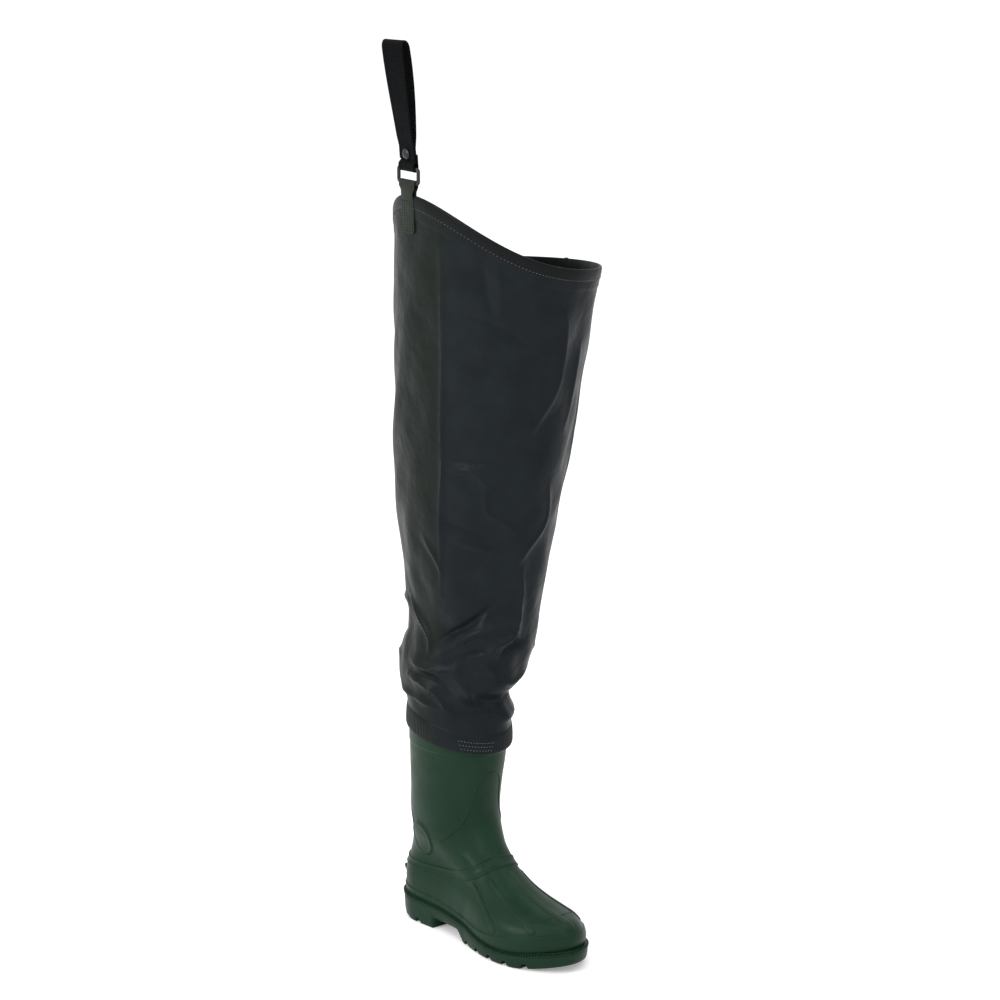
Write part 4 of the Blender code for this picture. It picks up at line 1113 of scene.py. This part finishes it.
Place = namedtuple("Place", "along turn share")


def crease_section(off):
    """A crease's cross section: a narrow crest on a soft, wide shoulder."""
    return 0.70 * np.exp(-(2.4 * off) ** 2) + 0.65 * np.exp(-(0.9 * off) ** 2)


def crease_lift(angle, share):
    """How far the listed creases push the fabric out or in, faded at both of their ends."""
    metres_per_degree = math.radians(1) * 0.40 * COLLAR_DEPTH
    reach = CREASE_REACH * leg_look().crease
    total = np.zeros(np.broadcast(angle, share).shape)
    for crease in CREASES:
        places = [Place(i, *place) for i, place in enumerate(crease.route)]
        along = np.linspace(0, len(places) - 1, 4 * (len(places) - 1) + 1)
        turns, shares = smooth(places, "turn", along), smooth(places, "share", along)
        across = degrees_from(angle, turns.mean()) * metres_per_degree
        ends = (turns - turns.mean()) * metres_per_degree
        heights = shares * LEG_HEIGHT
        nearest = np.full(total.shape, np.inf)
        fade = np.zeros(total.shape)
        for i in range(len(along) - 1):
            run_x, run_z = ends[i + 1] - ends[i], heights[i + 1] - heights[i]
            off_x, off_z = across - ends[i], share * LEG_HEIGHT - heights[i]
            part = np.clip((off_x * run_x + off_z * run_z) / (run_x ** 2 + run_z ** 2), 0, 1)
            off = np.hypot(off_x - part * run_x, off_z - part * run_z)
            here = (i + part) / (len(along) - 1)
            closer = off < nearest
            nearest = np.where(closer, off, nearest)
            fade = np.where(closer, np.sin(math.pi * np.clip(here, 0.04, 0.96)) ** 0.6, fade)
        total += crease.lift * reach * fade * crease_section(nearest / (crease.width * CUFF_BAND))
    return total


def slack_lift(angle, share):
    """Low waves that keep the fabric from lying dead flat between its creases."""
    turn = angle + 0.6 * np.sin(5 * share)
    waves = (np.sin(3 * turn + 9 * share) * np.sin(7 * share + 1.3 * np.sin(2 * turn))
             + 0.6 * np.sin(7 * turn - 14 * share) * np.sin(17 * share + turn)
             + 0.35 * np.sin(13 * turn + 31 * share) * np.sin(29 * share - 2 * turn))
    return 0.36 * CREASE_REACH * waves


def leg_lift(angle, share):
    """All relief of the leg's wall above the cuff, still at the tab and at the rim."""
    off_peak = degrees_from(angle, -90 - PEAK_TURN)
    at_tab = np.exp(-(off_peak / 16) ** 4) * ease((share - 0.86) / 0.06)
    rising = ease((share - 0.042) / 0.045)
    near_rim = 1 - 0.7 * ease((share - 0.93) / 0.05)
    return (crease_lift(angle, share) + slack_lift(angle, share)) * rising * near_rim * (1 - at_tab)


def leg_from_inseam(columns):
    """Angles round the leg that start at the inseam on the inner side."""
    return math.pi / 2 + 2 * math.pi * np.arange(columns) / columns


def make_fabric_leg(outside, lining):
    """The leg as one shell: coated face outside, olive lining inside the collar's dark facing."""
    angle = leg_from_inseam(280)
    low = np.linspace(CLOTH_BOTTOM, CUFF_SHARE, 12)
    wall = np.linspace(CUFF_SHARE + 0.003, 1 - HEM_SHARE - 0.003, 206)
    high = np.linspace(1 - HEM_SHARE, 1.0, 14)
    share = np.concatenate([low, wall, high])[:, None]
    step = np.concatenate([np.full(12, CUFF_STEP), np.zeros(206), np.full(14, HEM_STEP)])[:, None]
    around = np.broadcast_to(angle, (len(share), len(angle)))
    tape = np.exp(-degrees_from(around, 90) ** 4 / (SEAM_TAPE / COLLAR_WIDTH * 57) ** 4)
    lift = leg_lift(around, share)
    outer = leg_surface(around, np.broadcast_to(share, around.shape), lift + step + 0.6 * SEAM_STEP * tape)
    inside = [np.linspace(1.0, 1 - HEM_SHARE, 8), np.linspace(1 - HEM_SHARE - 0.004, CLOTH_BOTTOM, 82)]
    inside = np.concatenate(inside)[:, None]
    turned = np.broadcast_to(angle, (len(inside), len(angle)))
    facing = np.where(inside > 1 - 1.35 * HEM_SHARE, HEM_STEP, 0.0)
    beside = 0.5 / len(inside)
    lowest = np.minimum.reduce([leg_lift(turned, inside + shift) for shift in (-beside, 0.0, beside)])
    inner = leg_surface(turned, np.broadcast_to(inside, turned.shape), lowest - FABRIC - facing)
    rows = np.concatenate([outer, inner, outer[:1]])
    facing_rows = 10
    skin("leg_fabric", rows, [outside, lining], "fabric_leg",
         inner_from=len(outer) + facing_rows, crease=60)


def make_cuff(surface):
    """The ribbed tape that holds the fabric on the boot's top band."""
    ribs = round(math.pi * 0.5 * (SHAFT_DEPTH + SHAFT_WIDTH) / leg_look().cuff_rib_pitch)
    parts = 6
    angle = leg_from_inseam(ribs * parts)
    wave = 0.5 + 0.5 * np.cos(2 * math.pi * np.arange(len(angle)) / parts)
    top = CUFF_SHARE
    rows = []
    for share, lift, ribbed in ((0.0055, -0.0002, 0), (0.005, 0.0004, 0.3), (0.007, 0.0007, 0.8),
                                (0.3 * top, 0.0009, 1), (0.6 * top, 0.0008, 1), (0.9 * top, 0.0004, 0.9),
                                (1.1 * top, -0.0002, 0.5), (1.15 * top, -0.0012, 0)):
        step = CUFF_STEP + lift + CUFF_RIB * ribbed * wave
        rows.append(leg_surface(angle, np.full(len(angle), share), step))
    rows.append(rows[0])
    skin("cuff_ribbed_tape", rows, [surface], crease=60)


def make_edging(surface):
    """The tape folded over the collar: a band outside and a wider facing inside."""
    angle = leg_from_inseam(320)
    edge = leg_look().edging_width / LEG_HEIGHT
    facing = 1.25 * HEM_SHARE
    inner = -FABRIC - HEM_STEP
    rows = []
    for share, step in ((1 - edge, HEM_STEP - 0.0004), (1 - edge, HEM_STEP + 0.0004),
                        (1 - 0.94 * edge, HEM_STEP + 0.0006), (1 - 0.5 * edge, HEM_STEP + 0.0007),
                        (1 - 0.1 * edge, HEM_STEP + 0.0006), (1.0005, HEM_STEP + 0.0002), (1.0005, inner),
                        (1 - 0.1 * facing, inner - 0.0005), (1 - 0.5 * facing, inner - 0.0006),
                        (1 - 0.97 * facing, inner - 0.0005), (1 - facing, inner + 0.0001),
                        (1 - 0.97 * facing, -0.5 * FABRIC)):
        share = np.full(len(angle), share)
        rows.append(leg_surface(angle, share, leg_lift(angle, share) + step))
    rows.append(rows[0])
    skin("collar_edging", rows, [surface], crease=60)


def make_rim(surface):
    """The rolled edge of the collar, a thin round welt."""
    angle = leg_from_inseam(320)
    radius = leg_look().rim_radius
    rows = []
    for turn in np.linspace(0, 2 * math.pi, 11):
        line = leg_surface(angle, np.ones(len(angle)), -0.5 * FABRIC + radius * math.cos(turn))
        line[:, 2] += radius * (math.sin(turn) + 0.15)
        rows.append(line)
    skin("collar_rolled_rim", rows, [surface], crease=70)


def make_inseam(surface):
    """The welded seam down the inner side: a double fin from the rim to the cuff."""
    share = np.linspace(1.004, 0.012, 260)
    rows = []
    for across, rise in ((-3.4, -0.4), (-2.9, 0.5), (-1.9, 0.9), (-0.9, 1.0), (-0.35, 0.45), (0.35, 0.45),
                         (0.9, 1.0), (1.9, 0.9), (2.9, 0.5), (3.4, -0.4), (0, -0.9)):
        angle = math.pi / 2 + 0.001 * across / (0.5 * COLLAR_DEPTH) * np.ones(len(share))
        lift = leg_lift(angle, share) + SEAM_STEP * (0.5 + 0.9 * rise)
        rows.append(leg_surface(angle, share, lift))
    skin("inseam_fin", np.swapaxes(np.array(rows), 0, 1), [surface], crease=60)


def add_stitches(work, places, lengthways, outward, length, radius):
    """Short rounded stitches, each half sunk, at places with their run and outward ways."""
    for place, run, out in zip(places, unit(lengthways), unit(outward)):
        side = np.cross(out, run)
        made = bmesh.ops.create_icosphere(work, subdivisions=1, radius=1.0)["verts"]
        for corner in made:
            x, y, z = corner.co
            corner.co = Vector(place + run * (x * length / 2) + side * (y * radius) + out * (z * radius))


def leg_run(angle, share, step):
    """Places on the leg with their way round it and their way out."""
    small = 0.004
    places = leg_surface(angle, share, leg_lift(angle, share) + step)
    around = leg_surface(angle + small, share) - leg_surface(angle - small, share)
    up = leg_surface(angle, share + small) - leg_surface(angle, share - small)
    return places, around, np.cross(around, up)


def make_leg_stitches(surface):
    """Light thread: one row under the hem band and three short rows on the cuff's front."""
    look = leg_look()
    work = bmesh.new()
    count = round(math.pi * 0.5 * (COLLAR_DEPTH + COLLAR_WIDTH) / look.stitch_pitch)
    angle = leg_from_inseam(count)[2:-2]
    share = 1 - (look.edging_width - 0.0012) / LEG_HEIGHT
    add_stitches(work, *leg_run(angle, np.full(len(angle), share), HEM_STEP + 0.0007),
                 0.62 * look.stitch_pitch, HEM_THREAD)
    for row in range(3):
        spread = 17 + 1.5 * row
        number = round(2 * spread / 360 * math.pi * SHAFT_DEPTH / (0.85 * look.stitch_pitch))
        angle = np.radians(CUFF_STITCH_TURN + np.linspace(-spread, spread, number))
        share = (0.30 + 0.20 * row) * CUFF_SHARE
        add_stitches(work, *leg_run(angle, np.full(number, share), CUFF_STEP + 0.0012),
                     0.55 * look.stitch_pitch, CUFF_THREAD)
    keep(work, "leg_stitches", [surface], crease=80)


def hanger_frame():
    """The collar's peak, with the directions along the collar and out from it."""
    peak = leg_surface(PEAK_ANGLE, 1.0)
    along = leg_surface(PEAK_ANGLE + 0.02, 1.0) - leg_surface(PEAK_ANGLE - 0.02, 1.0)
    along[2] = 0.0
    along = unit(along)
    return peak, along, np.array([along[1], -along[0], 0.0])


def hang(across, out, up, lean_back=0.0, lean_out=0.0):
    """Points from their distances along the collar, out from it and above its peak.

    The limp hanger turns toward the toe: the tab turns below the ring, and the strap turns on above the stud.
    """
    peak, along, outward = hanger_frame()
    across, out, up = np.broadcast_arrays(across, out, up)
    stud = RING_HEIGHT + RING_HALF + SNAP_HEIGHT + SNAP_RADIUS
    turn = HANGER_TURN * ease((up - TAB_TURN_START) / (RING_HEIGHT - RING_HALF - TAB_TURN_START - 0.003))
    turn = np.radians(turn + STRAP_TURN * ease((up - stud) / (STRAP_LENGTH - SNAP_HEIGHT - SNAP_RADIUS)))
    depth = out + FABRIC / 2
    ahead = across * np.cos(turn) + depth * np.sin(turn) - lean_back
    away = depth * np.cos(turn) - across * np.sin(turn) - FABRIC / 2 + lean_out
    return peak + along * ahead[..., None] + outward * away[..., None] + points_of(0.0, 0.0, up)


def outer_wall(across, up, step):
    """Points of the leg's wall under the peak, from their distances along the collar."""
    peak, along, _ = hanger_frame()
    across = np.asarray(across, float)
    angle = np.full(across.shape, PEAK_ANGLE)
    height = peak[2] + up
    for _ in range(12):
        share = (height - cuff_edge(angle)) / (rim_height(angle) - cuff_edge(angle))
        here = (leg_surface(angle, share, step) - peak) @ along
        beside = (leg_surface(angle + 0.01, share, step) - peak) @ along
        angle = angle + (across - here) / ((beside - here) / 0.01)
    point = leg_surface(angle, np.minimum(share, 1.0), step)
    point[..., 2] = height
    return point


def tab_sides():
    """The folded tab's near and far faces, from its outer foot over the ring's bar to its inner foot."""
    bar = RING_HEIGHT - RING_HALF
    bend = RING_BAR / 2 + CLEARANCE
    middle = -FABRIC / 2
    across = TAB_WIDTH * np.array([-0.5, -0.495, -0.47, -0.25, 0.0, 0.25, 0.47, 0.495, 0.5])
    thin = 1 - 0.35 * (np.abs(across) > 0.49 * TAB_WIDTH)
    outside = HEM_STEP + CLEARANCE
    inside = -FABRIC - HEM_STEP - CLEARANCE
    near, far = [], []
    clear = 0.005
    for up in -clear - (TAB_OUTSIDE - clear) * np.linspace(1, 0, 22) ** 0.8:
        # The patch's two lower corners are cut round.
        missing = max(0.0, TAB_CORNER - TAB_OUTSIDE - up)
        pull = TAB_CORNER - math.sqrt(TAB_CORNER ** 2 - missing ** 2)
        shrunk = across * (1 - 2 * pull / TAB_WIDTH)
        near.append(outer_wall(shrunk, up, outside))
        far.append(outer_wall(shrunk, up, outside + FABRIC * thin))
    shares = np.linspace(0, 1, 9)
    rise = np.interp(shares, (0, 0.5, 1), (0.002, 0.5 * bar, bar - 0.003))
    outer = np.interp(shares, (0, 0.5, 1), (outside + 0.0005, 0.5 * (outside + middle + bend), middle + bend))
    inner = np.interp(shares, (0, 0.5, 1), (inside - 0.0005, 0.5 * (inside + middle - bend), middle - bend))
    free = [(out, up, 1, 0) for out, up in zip(outer, rise)]
    free += [(middle + bend * math.cos(turn), bar + bend * math.sin(turn), math.cos(turn), math.sin(turn))
             for turn in np.linspace(0, math.pi, 13)]
    free += [(out, up, -1, 0) for out, up in zip(inner[::-1], rise[::-1])]
    for out, up, way_out, way_up in free:
        near.append(hang(across, out, up))
        far.append(hang(across, out + way_out * FABRIC * thin, up + way_up * FABRIC * thin))
    for up in np.linspace(-clear, -TAB_INSIDE, 20):
        near.append(outer_wall(across, up, inside))
        far.append(outer_wall(across, up, inside - FABRIC * thin))
    return np.array(near), np.array(far)


def make_tab(surface, thread):
    """The fabric tab and the rows of stitching that hold its outer leg down."""
    near, far = tab_sides()
    rows = np.concatenate([near, far[:, ::-1]], axis=1)
    skin("hanger_tab_folded", rows, [surface], "hanger_tab", crease=60)
    work = bmesh.new()
    pitch = 0.8 * leg_look().stitch_pitch
    step = HEM_STEP + CLEARANCE + FABRIC + 0.0001
    low, high = -TAB_OUTSIDE + 0.003, -0.006
    outward = hanger_frame()[2]
    lines = []
    for across in (-TAB_STITCH_HALF, -0.006, 0.0, 0.006, TAB_STITCH_HALF):
        ups = np.arange(low + (0.002 if abs(across) > 0.01 else 0.0), high, pitch)
        lines.append(np.array([outer_wall(np.array([across]), up, step)[0] for up in ups]))
    spots = np.arange(-TAB_STITCH_HALF, TAB_STITCH_HALF + 0.0001, pitch)
    lines += [outer_wall(spots, up, step) for up in (low, high)]
    for places in lines:
        run = np.gradient(places, axis=0)
        add_stitches(work, places, run, np.broadcast_to(outward, run.shape), 0.66 * pitch, TAB_THREAD)
    keep(work, "tab_stitches", [thread], crease=80)


def make_link_ring(surface):
    """A rounded rectangle of round bar that links the tab to the strap."""
    corner = 0.75 * RING_BAR
    across, up = (RING_INSIDE_WIDTH + RING_BAR) / 2 - corner, RING_HALF - corner
    arcs = []
    for i, middle in enumerate(((across, up), (-across, up), (-across, -up), (across, -up))):
        turn = np.radians(90 * i + np.linspace(0, 90, 9))
        way = np.stack([np.cos(turn), np.sin(turn)], axis=1)
        arcs.append(np.concatenate([middle + corner * way, way], axis=1))
    path = []
    for arc, following in zip(arcs, arcs[1:] + arcs[:1]):
        path += [*arc, *(arc[-1] + (following[0] - arc[-1]) * share for share in (0.33, 0.67))]
    path = np.array(path)
    rows = []
    for turn in np.linspace(0, 2 * math.pi, 17):
        away = RING_BAR / 2 * math.cos(turn)
        rows.append(hang(path[:, 0] + away * path[:, 2], -FABRIC / 2 + RING_BAR / 2 * math.sin(turn),
                         RING_HEIGHT + path[:, 1] + away * path[:, 3]))
    skin("link_ring_bar", rows, [surface], "link_ring", crease=60)


def strap_line():
    """The strap's middle line as (outward, up) from the ring's upper bar, tail to free end."""
    bend, ply, top = STRAP_BEND, STRAP_PLY, STRAP_LENGTH
    route = [(-bend, STRAP_TAIL), (-bend, 0.5 * STRAP_TAIL), (-bend, 0.0)]
    for degrees in (30, 60, 90, 120, 150):
        turn = math.radians(180 + degrees)
        route.append((bend * math.cos(turn), bend * math.sin(turn)))
    route += [(bend, 0.0), (bend - 0.2 * ply, 0.3 * STRAP_TAIL)]
    seam = -bend + ply
    route += [(seam, 0.6 * STRAP_TAIL), (seam, 1.1 * STRAP_TAIL), (seam, 1.5 * STRAP_TAIL)]
    bows = ((0.25, 0.15), (0.40, 0.28), (0.60, 0.42), (0.78, 0.50), (0.90, 0.50), (0.965, 0.42))
    middle = seam + ply / 2
    for share, bow in bows:
        route.append((middle - ply / 2 - STRAP_BOW * bow, share * top))
    route.append((middle - 0.2 * STRAP_BOW, top * 0.994))
    route.append((middle + 0.2 * STRAP_BOW, top * 0.994))
    for share, bow in reversed(bows):
        route.append((middle + ply / 2 + STRAP_BOW * bow, share * top))
    route += [(seam + ply, 1.5 * STRAP_TAIL), (seam + ply, 1.1 * STRAP_TAIL), (seam + ply, 0.62 * STRAP_TAIL)]
    return np.array(route)


def strap_place(out, up, across):
    """Points of the strap from their distances out from, above and along the ring's bar."""
    share = np.maximum(up, 0.0) / STRAP_LENGTH
    return hang(across, out - FABRIC / 2, RING_HEIGHT + RING_HALF + up, STRAP_LEAN_BACK * share,
                STRAP_LEAN_OUT * share ** 1.5)


Bend = namedtuple("Bend", "along out up")


def make_strap(surface):
    """The belt strap, evenly stepped along its route, with thin selvedges."""
    route = strap_line()
    run = run_along(route)
    bends = [Bend(r, *point) for r, point in zip(run, route)]
    even = np.linspace(0, run[-1], 340)
    line = np.stack([smooth(bends, "out", even), smooth(bends, "up", even)], axis=1)
    way = unit(np.gradient(line, axis=0))
    side = np.stack([way[:, 1], -way[:, 0]], axis=1) * WEBBING / 2
    profile = [(-0.5, 0.0), (-0.49, 0.62), (-0.46, 0.95), (-0.40, 1.0), (-0.38, 0.86), (-0.2, 0.86),
               (0.0, 0.86), (0.2, 0.86), (0.38, 0.86), (0.40, 1.0), (0.46, 0.95), (0.49, 0.62), (0.5, 0.0)]
    ring = profile + [(across, -thick) for across, thick in profile[-2:0:-1]]
    rows = []
    for across, thick in ring:
        face = line + side * thick
        rows.append(strap_place(face[:, 0], face[:, 1], STRAP_WIDTH * across))
    rows = np.swapaxes(np.array(rows), 0, 1)
    skin("belt_strap_webbing", rows, [surface], "belt_strap", crease=60)


def stud_rings(outline, face, reach, height):
    """Rings of a round part of the stud, from its outline in shares of radius and reach."""
    turn = 2 * math.pi * np.arange(40) / 40
    return [strap_place(np.full(40, face + reach * out), height + SNAP_RADIUS * radius * np.sin(turn),
                        SNAP_RADIUS * radius * np.cos(turn)) for radius, out in outline]


def make_snap(surface):
    """The press stud: a domed cap with a rolled rim on the free ply, a flat plate behind the tail."""
    outer_face = -STRAP_BEND + 2 * STRAP_PLY + WEBBING / 2 + 2 * CLEARANCE
    inner_face = -STRAP_BEND - WEBBING / 2 - 2 * CLEARANCE
    cap = [(0.0, 0.0), (0.9, 0.0), (1.0, 0.10), (1.0, 0.25), (0.96, 0.42), (0.88, 0.55), (0.84, 0.50),
           (0.80, 0.56), (0.66, 0.80), (0.45, 0.94), (0.25, 0.99), (0.0, 1.0)]
    plate = [(0.0, 0.0), (0.80, 0.0), (0.80, 0.5), (0.72, 0.75), (0.5, 0.8), (0.42, 0.55), (0.3, 1.0),
             (0.0, 1.0)]
    rows = stud_rings(cap, outer_face, SNAP_CAP, SNAP_HEIGHT)
    skin("press_stud_cap", rows, [surface], "snap_cap", crease=50)
    rows = stud_rings(plate, inner_face, -SNAP_PLATE, 0.6 * SNAP_HEIGHT)
    skin("press_stud_post", rows, [surface], "snap_post", crease=50)


def make_floor():
    """A flat white floor, a little brighter to the camera so that it ends in white."""
    work = bmesh.new()
    bmesh.ops.create_grid(work, x_segments=8, y_segments=8, size=FLOOR_SIZE)
    mesh = bpy.data.meshes.new("studio_floor")
    work.to_mesh(mesh)
    work.free()
    surface = bpy.data.materials.new("white_paper_floor")
    surface.use_nodes = True
    tree = surface.node_tree
    shader = tree.nodes["Principled BSDF"]
    fill(shader, {"Base Color": (*grey(0.90), 1.0), "Roughness": 0.9, "Emission Color": (*grey(1.0), 1.0)})
    seen = add_node(tree, "ShaderNodeLightPath")
    glow = add_node(tree, "ShaderNodeMapRange", inputs={
        "Value": seen.outputs["Is Camera Ray"], "To Min": 0.0, "To Max": FLOOR_GLOW})
    tree.links.new(glow.outputs["Result"], shader.inputs["Emission Strength"])
    mesh.materials.append(surface)
    floor = add_object("studio_floor", mesh)
    floor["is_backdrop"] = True


def make_lamp(lamp, aim):
    """A square soft lamp aimed at a point."""
    light = bpy.data.lights.new(lamp.look + "_lamp", "AREA")
    light.energy = getattr(bpy.context.scene.wader_studio, lamp.look)
    light.size = lamp.size
    add_object(lamp.look + "_lamp", light, lamp.place, aim)


def make_camera(aim):
    """The camera at the photograph's angle, aimed at the wader's middle."""
    studio = bpy.context.scene.wader_studio
    lens = bpy.data.cameras.new("camera")
    lens.lens = studio.focal
    lens.sensor_width = 36.0
    place = Vector(ANKLE) + Vector((studio.distance * math.sin(studio.turn),
                                    -studio.distance * math.cos(studio.turn), studio.height))
    bpy.context.scene.camera = add_object("camera", lens, place, aim)


def light_world():
    """Even white light from all round."""
    world = bpy.data.worlds.new("studio_white")
    world.use_nodes = True
    fill(world.node_tree.nodes["Background"], {"Color": (*grey(1.0), 1.0), "Strength": SKY_STRENGTH})
    bpy.context.scene.world = world


def ready(name, build):
    """A shared material, made by build() once."""
    return bpy.data.materials.get(name) or build()


class WADER_OT_boot_upper(bpy.types.Operator):
    """Build the moulded boot upper with its raised lines"""
    bl_idname = "wader.boot_upper"
    bl_label = "Boot upper"

    def execute(self, context):
        vinyl = ready("moulded_green_vinyl", moulded_vinyl)
        make_boot_upper(vinyl)
        make_boot_lines(vinyl)
        return {"FINISHED"}


class WADER_OT_sole(bpy.types.Operator):
    """Build the cut sole, the teeth of its welt and the insole"""
    bl_idname = "wader.sole"
    bl_label = "Sole"

    def execute(self, context):
        vinyl = ready("moulded_green_vinyl", moulded_vinyl)
        make_outsole(vinyl)
        make_welt_teeth(vinyl)
        # Needled felt: matt and hairy, with fibres near 1 mm.
        make_insole(plain_fabric("grey_insole_felt", linear("#3d403c"), 0.95, 0.0010, 0.0002))
        return {"FINISHED"}


class WADER_OT_leg(bpy.types.Operator):
    """Build the fabric leg, its cuff, rim, inseam and stitching"""
    bl_idname = "wader.leg"
    bl_label = "Fabric leg"

    def execute(self, context):
        look = leg_look()
        fabric = ready("coated_polyester", coated_fabric)
        # The lining is the uncoated face: a matt olive weave near 0.6 mm, drawn at 1 mm.
        lining = plain_fabric("olive_lining_weave", look.lining, 0.85, 0.0010, 0.00015)
        make_fabric_leg(fabric, lining)
        make_cuff(fabric)
        tape = edge_tape()
        make_edging(tape)
        make_rim(tape)
        make_inseam(fabric)
        # Bonded polyester thread: grey, slightly shiny.
        make_leg_stitches(plain_fabric("grey_thread", look.thread, 0.55, 0.0006, 0.00004))
        return {"FINISHED"}


class WADER_OT_hanger(bpy.types.Operator):
    """Build the tab, the ring, the belt strap and its press stud"""
    bl_idname = "wader.hanger"
    bl_label = "Belt strap"

    def execute(self, context):
        # The tab is leg fabric folded with its olive side out: matt, with a weave near 0.8 mm.
        tab = plain_fabric("olive_tab_fabric", hanger_look().tab, 0.62, 0.0009, 0.00012)
        thread = plain_fabric("dark_thread", linear("#15181a"), 0.6, 0.0006, 0.00004)
        make_tab(tab, thread)
        make_link_ring(moulded_acetal())
        make_strap(woven_webbing())
        make_snap(lacquered_brass())
        return {"FINISHED"}


class WADER_OT_studio(bpy.types.Operator):
    """Set up the floor, the lamps and the camera"""
    bl_idname = "wader.studio"
    bl_label = "Studio"

    def execute(self, context):
        low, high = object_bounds()
        middle = (low + high) / 2
        make_floor()
        light_world()
        for lamp in LAMPS:
            make_lamp(lamp, middle)
        context.scene.view_settings.view_transform = "Standard"
        make_camera(middle)
        return {"FINISHED"}


STEPS = [WADER_OT_studio, WADER_OT_boot_upper, WADER_OT_sole, WADER_OT_leg, WADER_OT_hanger]


class WADER_PT_sidebar(bpy.types.Panel):
    """Lists the wader's steps and looks"""
    bl_label = "Hip wader"
    bl_idname = "WADER_PT_sidebar"
    bl_space_type = "VIEW_3D"
    bl_region_type = "UI"
    bl_category = "Wader"

    def draw(self, context):
        for step in STEPS:
            self.layout.operator(step.bl_idname)
        for look in GROUPS:
            group = getattr(context.scene, look)
            box = self.layout.box()
            for name in group.__annotations__:
                box.prop(group, name)


GROUPS = {"wader_boot": WaderBootLook, "wader_leg": WaderLegLook, "wader_hanger": WaderHangerLook,
          "wader_studio": WaderStudio}
CLASSES = [*GROUPS.values(), *STEPS, WADER_PT_sidebar]


def register():
    """Registers the classes and puts the looks on the scene."""
    for made in CLASSES:
        bpy.utils.register_class(made)
    for name, group in GROUPS.items():
        setattr(bpy.types.Scene, name, bpy.props.PointerProperty(type=group))


def unregister():
    """Takes the looks and the classes away again."""
    for name in GROUPS:
        delattr(bpy.types.Scene, name)
    for made in reversed(CLASSES):
        bpy.utils.unregister_class(made)


def main():
    """Builds the wader and its studio."""
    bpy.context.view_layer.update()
    register()
    bpy.ops.wader.studio()
    bpy.ops.wader.boot_upper()
    bpy.ops.wader.sole()
    bpy.ops.wader.leg()
    bpy.ops.wader.hanger()


if __name__ == "__main__":
    main()
